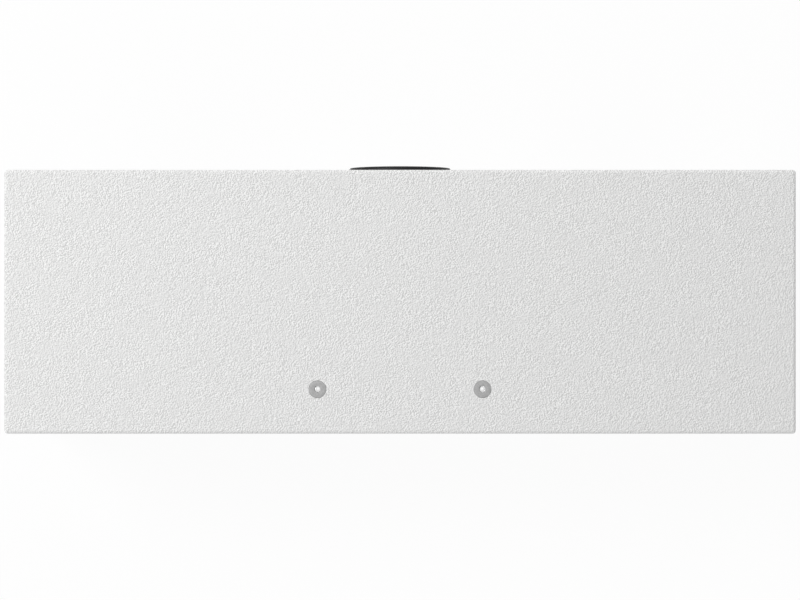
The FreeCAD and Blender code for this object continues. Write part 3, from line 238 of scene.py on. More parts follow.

# Threaded inserts
# Two flanged zinc-plated nuts let in flush with the top panel, for a bracket's bolts. The flange
# is turned flat and dull, its lead-in painted lighter to offset its shade. The bore is tapped, bright
# and closed at its end, to keep the box airtight, with a painted highlight in the middle of that end.


def turned(profile, centre, axis="Y", steps=160, ripple=None):
    """A mesh turned about an axis from (radius, along) points: a closed ring, unless it meets the axis.

    A ripple adds to each point's radius, from that radius, the place along and the share of a turn.
    """
    mesh = bmesh.new()
    rows = []
    for radius, along in profile:
        row = []
        for step in range(steps if radius > 0 else 1):
            turn = step / steps
            reach = radius + (ripple(radius, along, turn) if ripple else 0.0)
            across = reach * math.cos(math.tau * turn)
            up = reach * math.sin(math.tau * turn)
            spot = (across, along, up) if axis == "Y" else (across, up, along)
            row.append(mesh.verts.new(centre + Vector(spot)))
        rows.append(row)
    for first, second in zip(rows, rows[1:] + rows[:1]):
        for step in range(steps):
            corners = [first[step % len(first)], first[(step + 1) % len(first)],
                       second[(step + 1) % len(second)], second[step % len(second)]]
            corners = list(dict.fromkeys(corners))
            if len(corners) > 2:
                mesh.faces.new(corners)
    bmesh.ops.recalc_face_normals(mesh, faces=mesh.faces)
    return mesh


def rounded(corners, steps=6):
    """Profile points whose corners, given as (radius, along, rounding), become arcs."""
    points = []
    for index, (radius, along, rounding) in enumerate(corners):
        here = Vector((radius, along))
        if not rounding:
            points.append(here)
            continue
        back = (Vector(corners[index - 1][:2]) - here).normalized()
        onward = (Vector(corners[(index + 1) % len(corners)][:2]) - here).normalized()
        half = back.angle(onward) / 2
        centre = here + (back + onward).normalized() * rounding / math.sin(half)
        start = here + back * rounding / math.tan(half) - centre
        end = here + onward * rounding / math.tan(half) - centre
        points += [centre + start.slerp(end, step / steps) * rounding for step in range(steps + 1)]
    return points


def new_piece(name, mesh, material, sharp=38):
    """A finished object from a bmesh, smooth but for edges sharper than an angle."""
    data = bpy.data.meshes.new(name)
    mesh.to_mesh(data)
    mesh.free()
    data.materials.append(material)
    data.shade_smooth()
    data.set_sharp_from_angle(angle=math.radians(sharp))
    piece = bpy.data.objects.new(name, data)
    bpy.context.scene.collection.objects.link(piece)
    return piece


def settle(piece, node):
    """Fixes a piece to the cabinet and hides the solids that it stands for."""
    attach(piece, "cabinet")
    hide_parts(node)


def ripples(wire, rate):
    """A sine along a wire, rate radians to the metre."""
    angle = wire * rate
    return angle.maths("SINE", angle)


SIDES = {"left": -1, "right": 1}

INSERT_BORE = 2.5 * MM
LEAD_IN = 0.6 * MM
THREAD_PITCH = 1.0 * MM
THREAD_DEPTH = 0.08 * MM
FLANGE_THICKNESS = 1.6 * MM
FLANGE_ROUND = 0.2 * MM
MOUTH_ROUND = 0.12 * MM
BARREL_RADIUS = 5.0 * MM
CLOSED_END = 0.6 * MM
ROWS_PER_TURN = 8
HIGHLIGHT_START = 0.5 * MM
HIGHLIGHT_END = 1.5 * MM
BORE_EDGE_START = INSERT_BORE + 0.1 * MM
BORE_EDGE_END = INSERT_BORE + 0.25 * MM
MOUTH_RADIUS = INSERT_BORE + LEAD_IN
LEAD_IN_LIGHT_FADE = 0.1 * MM

ZINC_DULL = (0.375, 0.375, 0.375, 1)
ZINC_DARK = (0.305, 0.305, 0.305, 1)
# Painted light: the lead-in chamfer is lightened to offset the shade that falls in it.
LEAD_IN_PAINTED_LIGHT = (0.62, 0.62, 0.62, 1)
BORE_GREY = (0.80, 0.80, 0.80, 1)
# Painted highlight: a near-white spot in the middle of the bore's closed end.
BORE_PAINTED_HIGHLIGHT = (0.97, 0.97, 0.97, 1)
insert_low, insert_high = corners_of("threaded_insert_right")
insert_middle = (insert_low + insert_high) / 2
flange_radius = (insert_high.x - insert_low.x) / 2
zinc, skin, place = new_finish("turned_zinc")
x, y, _ = axes(place)
offset_x = magnitude(x) - insert_middle.x
offset_y = y - insert_middle.y
radius = (offset_x * offset_x + offset_y * offset_y) ** 0.5
tool_marks = ripples(radius, rate=9000)
stain = noise(place, scale=700, detail=4.0)
in_bore = ramp(radius, BORE_EDGE_START, BORE_EDGE_END, 1.0, 0.0)
# Painted highlight in the middle of the bore; painted light on the lead-in chamfer.
painted_highlight_at_centre = ramp(radius, HIGHLIGHT_START, HIGHLIGHT_END, 1.0, 0.0)
painted_light_at_lead_in = ramp(radius, MOUTH_RADIUS - LEAD_IN_LIGHT_FADE, MOUTH_RADIUS, 1.0, 0.0)
face_zinc = mixed(ramp(stain, 0.35, 0.65), ZINC_DARK, ZINC_DULL)
flange_zinc_and_painted_light = mixed(painted_light_at_lead_in, face_zinc, LEAD_IN_PAINTED_LIGHT)
feed(skin, {
    "Base Color": mixed(in_bore, flange_zinc_and_painted_light, mixed(painted_highlight_at_centre, BORE_GREY, BORE_PAINTED_HIGHLIGHT)),
    "Metallic": ramp(in_bore, 0.0, 1.0, 0.9, 1.0),
    "Roughness": ramp(in_bore, 0.0, 1.0, 0.5, 0.04) + stain * 0.06,
    "Normal": relief(tool_marks, depth=0.02 * MM, strength=0.3),
})


def thread_ripple(radius, along, turn):
    """A triangular groove that climbs one pitch a turn, in the bore alone."""
    if radius != INSERT_BORE:
        return 0.0
    climb = (along / THREAD_PITCH + turn) % 1.0
    return THREAD_DEPTH * (1 - abs(2 * climb - 1))


insert_length = insert_high.z - insert_low.z
bore_length = insert_length - CLOSED_END - LEAD_IN
insert_profile = [(0.0, -insert_length + CLOSED_END)]
bore_rows = int(bore_length / THREAD_PITCH * ROWS_PER_TURN)
for row in range(bore_rows + 1):
    insert_profile.append((INSERT_BORE, -insert_length + CLOSED_END + bore_length * row / bore_rows))
insert_profile += rounded([
    (MOUTH_RADIUS, 0.0, MOUTH_ROUND),
    (flange_radius, 0.0, FLANGE_ROUND),
    (flange_radius, -FLANGE_THICKNESS, 0.0),
    (BARREL_RADIUS, -FLANGE_THICKNESS, 0.0),
    (BARREL_RADIUS, -insert_length, 0.0),
    (0.0, -insert_length, 0.0),
], steps=4)
for side, sign in SIDES.items():
    centre = Vector((insert_middle.x * sign, insert_middle.y, insert_high.z))
    barrel = turned(insert_profile, centre, "Z", steps=72, ripple=thread_ripple)
    nut = new_piece(f"tapped_insert_{side}", barrel, zinc)
    settle(nut, f"threaded_insert_{side}")

# Woofer baskets, trim rings and gaskets
# Each woofer hangs in a cast alloy basket, powder coated black. A moulded trim ring, spark
# textured, covers the flange, and a foam gasket seals it to the baffle.
COAT_BLACK = (0.018, 0.018, 0.019, 1)
COAT_GREY = (0.032, 0.032, 0.034, 1)
cast, skin, place = new_finish("powder_coated_casting")
orange_peel = noise(place, scale=1500, detail=2.0)
feed(skin, {
    "Base Color": mixed(ramp(orange_peel, 0.4, 0.65), COAT_BLACK, COAT_GREY),
    "Metallic": 0.2,
    "Roughness": ramp(orange_peel, 0.3, 0.7, 0.45, 0.62),
    "Normal": relief(orange_peel, depth=0.2 * MM, strength=0.5),
})
dress(cast, "woofer_left_basket", "woofer_right_basket")


def cells(place, scale):
    """Distance to the nearest of scattered points, about 1 / scale metres apart."""
    return place.node("ShaderNodeTexVoronoi", {}, {"Vector": place, "Scale": scale})


def moulded_black(name, dark, pale, gloss, texture, shine=0.35):
    """Black moulded plastic: a spark-textured skin with a faint cloudiness."""
    material, skin, place = new_finish(name)
    spark = noise(place, scale=texture, detail=2.0, roughness=0.7)
    cloud = noise(place, scale=35, detail=3.0)
    feed(skin, {
        "Base Color": mixed(ramp(cloud, 0.35, 0.7), dark, pale),
        "Roughness": ramp(spark * 0.6 + cloud * 0.4, 0.35, 0.65, gloss - 0.07, gloss + 0.07),
        "Normal": relief(spark, depth=0.08 * MM, strength=0.45),
        "Specular IOR Level": shine,
    })
    return material


trim_plastic = moulded_black(
    "spark_textured_trim", dark=(0.013, 0.013, 0.014, 1), pale=(0.02, 0.02, 0.021, 1),
    gloss=0.46, texture=2600)
dress(trim_plastic, "woofer_left_trim_ring", "woofer_right_trim_ring")

FOAM_PORE = (0.012, 0.012, 0.012, 1)
FOAM_SKIN = (0.045, 0.045, 0.046, 1)
foam, skin, place = new_finish("gasket_foam")
pores = ramp(cells(place, scale=1600), 0.1, 0.6)
feed(skin, {
    "Base Color": mixed(pores, FOAM_PORE, FOAM_SKIN),
    "Roughness": 0.95,
    "Normal": relief(pores, depth=0.3 * MM, strength=0.6),
})
dress(foam, "woofer_gaskets", "tweeter_gasket")

# Woofer surrounds
# A half roll of butyl rubber bridges from the basket's lip to the cone's rim, glued at both. It
# flexes with every stroke; the ring is built at rest.
LAND_DEPTH = -4.0 * MM
ROLL_OUTER = 68.5 * MM
ROLL_INNER = 59.5 * MM
FOOT_INNER = 56.0 * MM
LIP_RADIUS = 71.45 * MM
SKIN_THICKNESS = 1.0 * MM
EDGE_THICKNESS = 0.95 * MM
ROLL_FULLNESS = 1.03
ROLL_STEPS = 28

BUTYL_BLACK = (0.012, 0.012, 0.0125, 1)
BUTYL_BLOOM = (0.022, 0.022, 0.023, 1)
butyl, skin, place = new_finish("butyl_rubber")
bloom = ramp(noise(place, scale=60, detail=5.0), 0.4, 0.75)
grain = noise(place, scale=2400, detail=2.0)
feed(skin, {
    "Base Color": mixed(bloom, BUTYL_BLACK, BUTYL_BLOOM),
    "Roughness": ramp(bloom * 0.5 + grain * 0.5, 0.2, 0.8, 0.36, 0.56),
    "Normal": relief(grain, depth=0.04 * MM, strength=0.35),
    "Sheen Weight": 0.08,
    "Sheen Roughness": 0.4,
})


def roll_points(inset):
    """The half roll from its outer to its inner edge, inset into the rubber's thickness."""
    outer = Vector((ROLL_OUTER, LAND_DEPTH))
    inner = Vector((ROLL_INNER, 0.0))
    chord = inner - outer
    reach = chord.length / 2 * ROLL_FULLNESS
    away = Vector((chord.y, -chord.x)).normalized()
    middle = (outer + inner) / 2 + away * math.sqrt(reach ** 2 - (chord.length / 2) ** 2)
    start, end = outer - middle, inner - middle
    swing = math.atan2(start.x * end.y - start.y * end.x, start.dot(end))
    shrink = (reach - inset) / reach
    points = []
    for step in range(ROLL_STEPS + 1):
        angle = swing * step / ROLL_STEPS
        turned_x = start.x * math.cos(angle) - start.y * math.sin(angle)
        turned_y = start.x * math.sin(angle) + start.y * math.cos(angle)
        points.append(middle + Vector((turned_x, turned_y)) * shrink)
    return points


surround_profile = [Vector((LIP_RADIUS, LAND_DEPTH))] + roll_points(0.0)
surround_profile += [Vector((FOOT_INNER, 0.0)), Vector((FOOT_INNER, EDGE_THICKNESS))]
surround_profile += reversed(roll_points(SKIN_THICKNESS))
surround_profile += [Vector((LIP_RADIUS, LAND_DEPTH + EDGE_THICKNESS))]
for side in SIDES:
    low, high = corners_of(f"woofer_{side}_trim_ring")
    centre = Vector(((low.x + high.x) / 2, high.y, (low.z + high.z) / 2))
    ring = turned(surround_profile, centre, steps=176)
    roll = new_piece(f"half_roll_{side}", ring, butyl, sharp=50)
    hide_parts(f"woofer_{side}_surround")
    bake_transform(roll)

# Woofer cones and dust caps
# Cones and caps are felted black paper pulp, pressed hot. Long pale fibres show in the felt, and
# shallow rings pressed in the cone stiffen it. The cap is lacquered.
PULP_BLACK = (0.010, 0.010, 0.011, 1)
PULP_FIBRE = (0.05, 0.05, 0.052, 1)
LACQUER_BLACK = (0.011, 0.011, 0.012, 1)
LACQUER_FIBRE = (0.035, 0.035, 0.037, 1)
HAIR_RANGE = 0.035


def pulp(name, dark, fibre, gloss):
    """Felted paper: fine lumps crossed by long pale fibres."""
    material, skin, place = new_finish(name)
    felt = noise(place, scale=700, detail=6.0, roughness=0.7)
    strands = swirls(place, scale=260, distortion=4.0, detail=2.0)
    hairs = ramp(magnitude(strands - 0.5), 0.0, HAIR_RANGE, 1.0, 0.0)
    feed(skin, {
        "Base Color": mixed(hairs * 0.55 + felt * 0.25, dark, fibre),
        "Roughness": ramp(felt, 0.3, 0.7, gloss, gloss + 0.15),
        "Normal": relief(felt + hairs * 0.3, depth=0.25 * MM, strength=0.55),
    })
    return material


cone_paper = pulp("black_paper_pulp", PULP_BLACK, PULP_FIBRE, gloss=0.62)
cap_paper = pulp("lacquered_paper_pulp", LACQUER_BLACK, LACQUER_FIBRE, gloss=0.38)
dress(cone_paper, "woofer_left_cone", "woofer_right_cone")
dress(cap_paper, "woofer_left_dust_cap", "woofer_right_dust_cap")

# Voice coils, spiders and motors
# Behind each cone a copper coil on a former rides in the gap of a ferrite ring magnet, held
# central by a pleated, varnished cloth spider. The steel plates are zinc plated.
COPPER_DARK = (0.38, 0.13, 0.045, 1)
COPPER_BRIGHT = (0.62, 0.25, 0.1, 1)
copper, skin, place = new_finish("enamelled_copper")
y = axes(place)[1]
turns = ripples(y, rate=9000)
feed(skin, {
    "Base Color": mixed(ramp(turns, -1.0, 1.0), COPPER_DARK, COPPER_BRIGHT),
    "Metallic": 0.85,
    "Roughness": ramp(noise(place, scale=300), 0.3, 0.7, 0.25, 0.4),
    "Normal": relief(turns, depth=0.1 * MM, strength=0.5),
})
dress(copper, "woofer_left_voice_coil", "woofer_right_voice_coil", "tweeter_voice_coil",
      "crossover_coils")

VARNISH_BROWN = (0.26, 0.12, 0.03, 1)
VARNISH_AMBER = (0.5, 0.28, 0.09, 1)
cloth, skin, place = new_finish("varnished_cloth")
x, _, z = axes(place)
weave = ripples(x, rate=5200) * ripples(z, rate=5200)
feed(skin, {
    "Base Color": mixed(ramp(weave, -1.0, 1.0), VARNISH_BROWN, VARNISH_AMBER),
    "Roughness": ramp(noise(place, scale=120), 0.3, 0.7, 0.55, 0.75),
    "Normal": relief(weave, depth=0.15 * MM, strength=0.6),
})
dress(cloth, "woofer_left_spider", "woofer_right_spider")

PLATING_BLUE = (0.42, 0.43, 0.45, 1)
PLATING_GREY = (0.58, 0.58, 0.58, 1)
steel, skin, place = new_finish("zinc_plated_steel")
spangle = cells(place, scale=220)
feed(skin, {
    "Base Color": mixed(ramp(spangle, 0.1, 0.7), PLATING_BLUE, PLATING_GREY),
    "Metallic": 1.0,
    "Roughness": ramp(noise(place, scale=400, detail=4.0), 0.3, 0.7, 0.28, 0.45),
    "Normal": relief(noise(place, scale=1200), depth=0.05 * MM, strength=0.3),
})
dress(steel, *(f"{driver}_{plate}" for driver in ("woofer_left", "woofer_right", "tweeter")
               for plate in ("top_plate", "back_plate")))

FERRITE_BLACK = (0.022, 0.022, 0.024, 1)
FERRITE_GREY = (0.06, 0.06, 0.064, 1)
ferrite, skin, place = new_finish("pressed_ferrite")
powder = noise(place, scale=1500, detail=4.0, roughness=0.7)
feed(skin, {
    "Base Color": mixed(ramp(powder, 0.3, 0.7), FERRITE_BLACK, FERRITE_GREY),
    "Roughness": 0.72,
    "Normal": relief(powder, depth=0.15 * MM, strength=0.5),
})
dress(ferrite, "woofer_left_magnet", "woofer_right_magnet", "tweeter_magnet")

# Screws
# Black countersunk wood screws with a hexagon socket hold the drivers and the terminal cup. Each
# was driven by hand, so the sockets stand at odd angles.
WOOFER_SCREW = {"head": 3.85 * MM, "depth": 2.4 * MM, "shank": 2.0 * MM, "length": 22 * MM}
SMALL_SCREW = {"head": 3.05 * MM, "depth": 1.9 * MM, "shank": 1.5 * MM, "length": 16 * MM}
WOOFER_SCREW_CIRCLE = 79.75 * MM
WOOFER_SCREW_COUNT = 8
SCREW_STEPS = 24
SOCKET_SHARE = 0.42
SOCKET_DEPTH_SHARE = 0.6
SOCKET_POINT = 1.15
SOCKET_EASE = 1.08
SOCKET_EASE_DEPTH = 0.03 * MM
HEAD_EDGE = 0.2 * MM
TIP_START = 0.85


def hexagon(turn):
    """Reach of a hexagon's side at a turn, for a unit circle round its corners."""
    sector = (turn * 6) % 1.0
    return math.cos(math.pi / 6) / math.cos(math.pi / 3 * (sector - 0.5))


def screw_shape(name, head, depth, shank, length, facing):
    """One screw with its face at the origin, pointing along +Y, or along -Y where facing is -1."""
    socket = head * SOCKET_SHARE
    socket_depth = depth * SOCKET_DEPTH_SHARE
    profile = [
        (0.0, socket_depth * SOCKET_POINT),
        (socket, socket_depth),
        (socket, SOCKET_EASE_DEPTH),
        (socket * SOCKET_EASE, 0.0),
        (head - HEAD_EDGE, 0.0),
        (head, HEAD_EDGE),
        (shank, depth),
        (shank, length * TIP_START),
        (0.0, length),
    ]

    def flats(radius, along, turn):
        return radius * (hexagon(turn) - 1) if radius == socket else 0.0

    profile = [(radius, along * facing) for radius, along in profile]
    mesh = turned(profile, Vector(), steps=SCREW_STEPS, ripple=flats)
    return new_piece(name, mesh, oxide, sharp=30)


def screw_tree():
    """Copies of a screw on points, each turned by its own chance angle."""
    tree = bpy.data.node_groups.new("screws_on_points", "GeometryNodeTree")
    names = {}
    for label, kind in (("Points", "NodeSocketGeometry"), ("Screw", "NodeSocketObject"),
                        ("Turn seed", "NodeSocketInt"), ("Finish", "NodeSocketMaterial")):
        socket = tree.interface.new_socket(name=label, in_out="INPUT", socket_type=kind)
        names[label] = socket.identifier
    tree.interface.new_socket(name="Screws", in_out="OUTPUT", socket_type="NodeSocketGeometry")
    given = tree.nodes.new("NodeGroupInput")
    points, screw, seed, coat = (Wire(tree, socket) for socket in given.outputs[:4])
    shape = screw.node("GeometryNodeObjectInfo", {}, {"Object": screw}, result="Geometry")
    angle = seed.node("FunctionNodeRandomValue", {"data_type": "FLOAT"}, {
        2: 0.0, 3: math.tau, "Seed": seed}, result=1)
    spin = angle.node("ShaderNodeCombineXYZ", {}, {"Y": angle})
    spin = spin.node("FunctionNodeEulerToRotation", {}, {0: spin})
    copies = points.node("GeometryNodeInstanceOnPoints", {}, {
        "Points": points, "Instance": shape, "Rotation": spin})
    real = copies.node("GeometryNodeRealizeInstances", {}, {"Geometry": copies})
    done = real.node("GeometryNodeSetMaterial", {}, {"Geometry": real, "Material": coat})
    feed(tree.nodes.new("NodeGroupOutput"), {0: done})
    return tree, names


def screw_set(name, spots, pattern, seed):
    """A set of screws at the given spots, as one plain piece."""
    data = bpy.data.meshes.new(name)
    data.from_pydata(spots, [], [])
    carrier = bpy.data.objects.new(name, data)
    bpy.context.scene.collection.objects.link(carrier)
    copies = carrier.modifiers.new("screws", "NODES")
    copies.node_group = screws_on_points
    copies[screw_inputs["Screw"]] = pattern
    copies[screw_inputs["Turn seed"]] = seed
    copies[screw_inputs["Finish"]] = oxide
    view = bpy.context.evaluated_depsgraph_get()
    plain = bpy.data.meshes.new_from_object(carrier.evaluated_get(view))
    carrier.modifiers.remove(copies)
    carrier.data = plain
    bpy.data.objects.remove(pattern)
    settle(carrier, name)


def corner_spots(node, level):
    """The middles of four small screws at the corners of their node's box, at a level of y."""
    low, high = corners_of(node)
    inset = SMALL_SCREW["head"]
    return [(x_end, level, z_end) for x_end in (low.x + inset, high.x - inset)
            for z_end in (low.z + inset, high.z - inset)]


OXIDE_BLACK = (0.085, 0.085, 0.088, 1)
OXIDE_SCUFF = (0.17, 0.17, 0.172, 1)
oxide, skin, place = new_finish("black_oxide_steel")
scuff = noise(place, scale=2000, detail=4.0)
feed(skin, {
    "Base Color": mixed(ramp(scuff, 0.4, 0.7), OXIDE_BLACK, OXIDE_SCUFF),
    "Metallic": 1.0,
    "Roughness": ramp(scuff, 0.3, 0.7, 0.26, 0.42),
    "Normal": relief(scuff, depth=0.03 * MM, strength=0.3),
})
screws_on_points, screw_inputs = screw_tree()

low, high = corners_of("woofer_screws")
trim_low, trim_high = corners_of("woofer_right_trim_ring")
woofer_x = (trim_low.x + trim_high.x) / 2
axis_z = (low.z + high.z) / 2
spots = []
for sign in SIDES.values():
    for step in range(WOOFER_SCREW_COUNT):
        angle = math.tau * step / WOOFER_SCREW_COUNT
        spots.append((woofer_x * sign + WOOFER_SCREW_CIRCLE * math.cos(angle), low.y,
                      axis_z + WOOFER_SCREW_CIRCLE * math.sin(angle)))
pattern = screw_shape("woofer_screw", facing=1, **WOOFER_SCREW)
screw_set("woofer_screws", spots, pattern, seed=3)

spots = corner_spots("tweeter_screws", level=corners_of("tweeter_screws")[0].y)
pattern = screw_shape("tweeter_screw", facing=1, **SMALL_SCREW)
screw_set("tweeter_screws", spots, pattern, seed=5)

spots = corner_spots("terminal_screws", level=corners_of("terminal_screws")[1].y)
pattern = screw_shape("terminal_screw", facing=-1, **SMALL_SCREW)
screw_set("terminal_screws", spots, pattern, seed=8)

# Tweeter
# A moulded waveguide stands proud of the baffle and carries a doped silk dome. Its rim is the dark
# lens that shows past the cabinet's front edge from above.
guide_plastic = moulded_black(
    "satin_waveguide", dark=(0.008, 0.008, 0.0085, 1), pale=(0.013, 0.013, 0.0135, 1),
    gloss=0.48, texture=3200, shine=0.23)
dress(guide_plastic, "tweeter_waveguide")

SILK_BLACK = (0.012, 0.012, 0.013, 1)
SILK_GREY = (0.03, 0.03, 0.032, 1)
silk, skin, place = new_finish("doped_silk")
x, _, z = axes(place)
weave = ripples(x, rate=9000) * ripples(z, rate=9000)
dope = noise(place, scale=500, detail=3.0)
feed(skin, {
    "Base Color": mixed(ramp(weave, -1.0, 1.0), SILK_BLACK, SILK_GREY),
    "Roughness": ramp(dope, 0.3, 0.7, 0.34, 0.52),
    "Normal": relief(weave * 0.6 + dope * 0.4, depth=0.06 * MM, strength=0.5),
    "Sheen Weight": 0.25,
    "Sheen Roughness": 0.35,
})
dress(silk, "tweeter_dome")

# Reflex ports
# Two moulded tubes, flared at the rear face and let in flush with it. The plastic is matte black
# inside and out, and faintly cloudy.
port_plastic = moulded_black(
    "matte_port_plastic", dark=(0.014, 0.014, 0.0145, 1), pale=(0.024, 0.024, 0.025, 1),
    gloss=0.56, texture=1900)
dress(port_plastic, "port_tube_left", "port_tube_right")

# Terminal cup and binding posts
# A moulded cup sunk in the rear panel holds two gold-flashed brass posts. Each has a coloured
# collar under it and a fluted cap that screws down on the wire, red and black. The woofers' tags
# are of the same brass.
cup_plastic = moulded_black(
    "textured_cup_plastic", dark=(0.015, 0.015, 0.0155, 1), pale=(0.023, 0.023, 0.024, 1),
    gloss=0.5, texture=2200)
dress(cup_plastic, "terminal_cup")

BRASS_GOLD = (0.83, 0.60, 0.24, 1)
BRASS_TARNISH = (0.62, 0.40, 0.15, 1)
brass, skin, place = new_finish("gold_flashed_brass")
tarnish = ramp(noise(place, scale=500, detail=5.0), 0.4, 0.75)
feed(skin, {
    "Base Color": mixed(tarnish, BRASS_GOLD, BRASS_TARNISH),
    "Metallic": 1.0,
    "Roughness": ramp(tarnish, 0.0, 1.0, 0.2, 0.36),
    "Normal": relief(noise(place, scale=2500), depth=0.02 * MM, strength=0.3),
})
dress(brass, "binding_post_shafts", "binding_post_nuts", "binding_post_core_red",
      "binding_post_core_black", "woofer_tag_boards")

POST_COLOURS = {
    "red": ((0.36, 0.008, 0.008, 1), (0.48, 0.016, 0.014, 1)),
    "black": ((0.010, 0.010, 0.011, 1), (0.018, 0.018, 0.019, 1)),
}
for colour, (deep, bright) in POST_COLOURS.items():
    acrylic, skin, place = new_finish(f"{colour}_post_acrylic")
    flow = noise(place, scale=160, detail=3.0)
    feed(skin, {
        "Base Color": mixed(ramp(flow, 0.3, 0.7), deep, bright),
        "Roughness": ramp(noise(place, scale=900, detail=3.0), 0.3, 0.7, 0.22, 0.36),
        "Normal": relief(noise(place, scale=1800), depth=0.03 * MM, strength=0.3),
        "Coat Weight": 0.4,
        "Coat Roughness": 0.12,
    })
    dress(acrylic, f"binding_post_collar_{colour}", f"binding_post_cap_{colour}")

# Crossover
# A glass-fibre board on nylon pillars stands on the cabinet's floor, with air coils wound on nylon
# bobbins, film capacitors and cement resistors soldered to it.
EPOXY_GREEN = (0.04, 0.16, 0.075, 1)
EPOXY_SHADE = (0.02, 0.10, 0.045, 1)
board, skin, place = new_finish("glass_fibre_board")
x, y, _ = axes(place)
mat = ripples(x, rate=4000) * ripples(y, rate=4000)
feed(skin, {
    "Base Color": mixed(ramp(mat, -1.0, 1.0), EPOXY_SHADE, EPOXY_GREEN),
    "Roughness": ramp(noise(place, scale=200), 0.3, 0.7, 0.35, 0.5),
    "Normal": relief(mat, depth=0.05 * MM, strength=0.3),
})
dress(board, "crossover_board")

NYLON_STRAW = (0.66, 0.62, 0.52, 1)
NYLON_MILK = (0.78, 0.75, 0.67, 1)
nylon, skin, place = new_finish("natural_nylon")
haze = noise(place, scale=300, detail=3.0)
feed(skin, {
    "Base Color": mixed(haze, NYLON_STRAW, NYLON_MILK),
    "Roughness": ramp(haze, 0.3, 0.7, 0.4, 0.55),
})
dress(nylon, "crossover_pillars", "crossover_bobbins")

FILM_DARK = (0.46, 0.10, 0.04, 1)
FILM_RED = (0.60, 0.15, 0.06, 1)
film, skin, place = new_finish("red_film_wrap")
y = axes(place)[1]
laps = ripples(y, rate=1400)
feed(skin, {
    "Base Color": mixed(ramp(laps, -1.0, 1.0), FILM_DARK, FILM_RED),
    "Roughness": ramp(noise(place, scale=250), 0.3, 0.7, 0.24, 0.38),
    "Normal": relief(laps, depth=0.04 * MM, strength=0.3),
})
dress(film, "crossover_capacitors")

CEMENT_GREY = (0.58, 0.56, 0.52, 1)
CEMENT_PALE = (0.74, 0.73, 0.69, 1)
cement, skin, place = new_finish("cement_resistor_body")
chalk = noise(place, scale=1300, detail=5.0, roughness=0.7)
feed(skin, {
    "Base Color": mixed(ramp(chalk, 0.3, 0.7), CEMENT_GREY, CEMENT_PALE),
    "Roughness": 0.85,
    "Normal": relief(chalk, depth=0.2 * MM, strength=0.5),
})
dress(cement, "crossover_resistors")

# Damping wadding
# A thick pad of polyester wadding is stapled against each end panel. It is cut square, swells at
# its faces and pulls in at its edges, with a fluffy, dimpled skin.
WADDING_GREY = (0.50, 0.49, 0.46, 1)
WADDING_WHITE = (0.74, 0.73, 0.70, 1)
wadding, skin, place = new_finish("polyester_wadding")
fluff = noise(place, scale=320, detail=8.0, roughness=0.75)
feed(skin, {
    "Base Color": mixed(ramp(fluff, 0.3, 0.7), WADDING_GREY, WADDING_WHITE),
    "Roughness": 1.0,
    "Normal": relief(fluff, depth=1.5 * MM, strength=0.8),
    "Sheen Weight": 0.3,
})
PAD_THICKNESS = 36 * MM
PAD_CUTS = 20
PAD_PULL = 4.0 * MM
PAD_DIMPLE = 2.0 * MM
DIMPLE_RATE_ALONG = 9
DIMPLE_RATE_UP = 7
FACE_SHRINK = 0.02
pad_low, pad_high = corners_of("damping_pads")
pads = bmesh.new()
for sign in SIDES.values():
    outer = pad_high.x if sign > 0 else pad_low.x
    middle = (pad_low + pad_high) / 2
    middle.x = outer - sign * PAD_THICKNESS / 2
    half = Vector((PAD_THICKNESS / 2, (pad_high.y - pad_low.y) / 2, (pad_high.z - pad_low.z) / 2))
    before = len(pads.verts)
    corners = bmesh.ops.create_cube(pads, size=2.0)["verts"]
    edges = list({edge for vert in corners for edge in vert.link_edges})
    bmesh.ops.subdivide_edges(pads, edges=edges, cuts=PAD_CUTS, use_grid_fill=True)
    for vert in list(pads.verts)[before:]:
        unit = vert.co.copy()
        crown = (1 - unit.y ** 2) * (1 - unit.z ** 2)
        waves = math.sin(DIMPLE_RATE_ALONG * unit.y) * math.sin(DIMPLE_RATE_UP * unit.z)
        dimple = 0.5 + 0.5 * waves
        inner_face = max(0.0, -unit.x * sign)
        inset = (PAD_PULL * (1 - crown) + PAD_DIMPLE * dimple * crown) * inner_face
        pull = 1 - FACE_SHRINK * unit.x ** 4
        vert.co = middle + Vector((
            unit.x * half.x + inset * sign, unit.y * half.y * pull, unit.z * half.z * pull))
bmesh.ops.recalc_face_normals(pads, faces=pads.faces)
pad_piece = new_piece("wadding_pads", pads, wadding, sharp=60)
settle(pad_piece, "damping_pads")

# Camera
# The photograph looks straight down on the panel with the inserts, from far off. The front edge is
# at the top of the picture.
PHOTO_WIDTH = 800
PHOTO_SCALE = 0.9087 * MM
FACE_CENTRE_ROW = 301.75
PHOTO_MIDDLE_ROW = 300
CAMERA_DISTANCE = 2.484
SENSOR_WIDTH = 36
top_low, top_high = corners_of("cabinet_top")
face_middle = (top_low + top_high) / 2
camera = bpy.data.objects.new("camera", bpy.data.cameras.new("camera"))
camera.data.sensor_width = SENSOR_WIDTH
camera.data.lens = SENSOR_WIDTH * CAMERA_DISTANCE / (PHOTO_WIDTH * PHOTO_SCALE)
camera.location = (
    face_middle.x,
    face_middle.y - (FACE_CENTRE_ROW - PHOTO_MIDDLE_ROW) * PHOTO_SCALE,
    top_high.z + CAMERA_DISTANCE,
)
camera.rotation_euler = Euler((0, 0, math.pi))
bpy.context.scene.collection.objects.link(camera)
bpy.context.scene.camera = camera

# Floor and light
# A white studio: a broad soft lamp high on the left of the picture, weaker ones before the front and
# behind the back, and an even white surround. The floor is white to the camera but keeps a faint shadow.
FLOOR_HALF = 8.0
FLOOR_GLOW = 0.94
FLOOR_WHITE = (0.9, 0.9, 0.9, 1)
SURROUND_LIGHT = 0.505
WHITE = (1, 1, 1, 1)


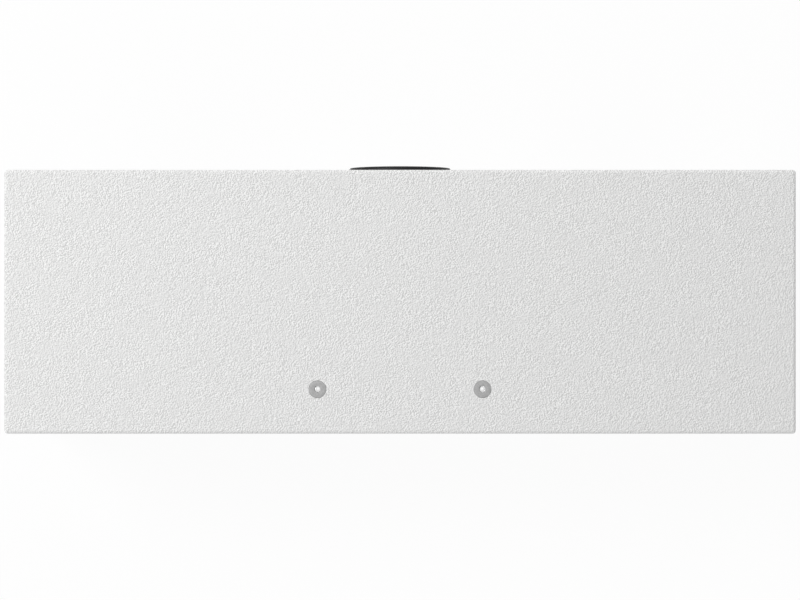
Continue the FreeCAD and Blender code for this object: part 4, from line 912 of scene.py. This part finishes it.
def seen_directly(tree):
    """One for camera, mirror and glass rays, nought for the rays that light things."""
    rays = tree.nodes.new("ShaderNodeLightPath")
    camera_ray, mirror_ray, glass_ray = (
        Wire(tree, rays.outputs[f"Is {kind} Ray"]) for kind in ("Camera", "Glossy", "Transmission"))
    return ramp(camera_ray + mirror_ray + glass_ray, 0.0, 1.0)


floor_mesh = bmesh.new()
bmesh.ops.create_grid(floor_mesh, x_segments=1, y_segments=1, size=FLOOR_HALF)
white_floor = bpy.data.materials.new("white_floor")
white_floor.use_nodes = True
tree = white_floor.node_tree
tree.nodes.clear()
seen = seen_directly(tree)
matte = seen.node("ShaderNodeBsdfDiffuse", {}, {"Color": FLOOR_WHITE})
glow = seen.node("ShaderNodeEmission", {}, {"Color": WHITE, "Strength": 1.0})
both = seen.node("ShaderNodeMixShader", {}, {0: seen * FLOOR_GLOW, 1: matte, 2: glow})
feed(tree.nodes.new("ShaderNodeOutputMaterial"), {"Surface": both})
floor = new_piece("floor", floor_mesh, white_floor)

world = bpy.data.worlds.new("studio")
bpy.context.scene.world = world
world.use_nodes = True
tree = world.node_tree
tree.nodes.clear()
seen = seen_directly(tree)
dim = seen.node("ShaderNodeBackground", {}, {"Color": WHITE, "Strength": SURROUND_LIGHT})
bright = seen.node("ShaderNodeBackground", {}, {"Color": WHITE, "Strength": 1.0})
both = seen.node("ShaderNodeMixShader", {}, {0: seen, 1: dim, 2: bright})
feed(tree.nodes.new("ShaderNodeOutputWorld"), {"Surface": both})


def soft_lamp(name, spot, size, power):
    """A square soft box that faces the middle of the top panel."""
    data = bpy.data.lights.new(name, "AREA")
    data.size = size
    data.energy = power
    lamp = bpy.data.objects.new(name, data)
    lamp.location = spot
    lamp.rotation_euler = (face_middle - Vector(spot)).to_track_quat("-Z", "Y").to_euler()
    bpy.context.scene.collection.objects.link(lamp)


soft_lamp("key_lamp", spot=(2.0, -1.0, 2.8), size=1.2, power=57)
soft_lamp("front_lamp", spot=(-1.0, -2.6, 1.1), size=1.4, power=12)
soft_lamp("rear_lamp", spot=(0.8, 2.8, 0.9), size=1.4, power=9)

bpy.context.scene.view_settings.view_transform = "Standard"
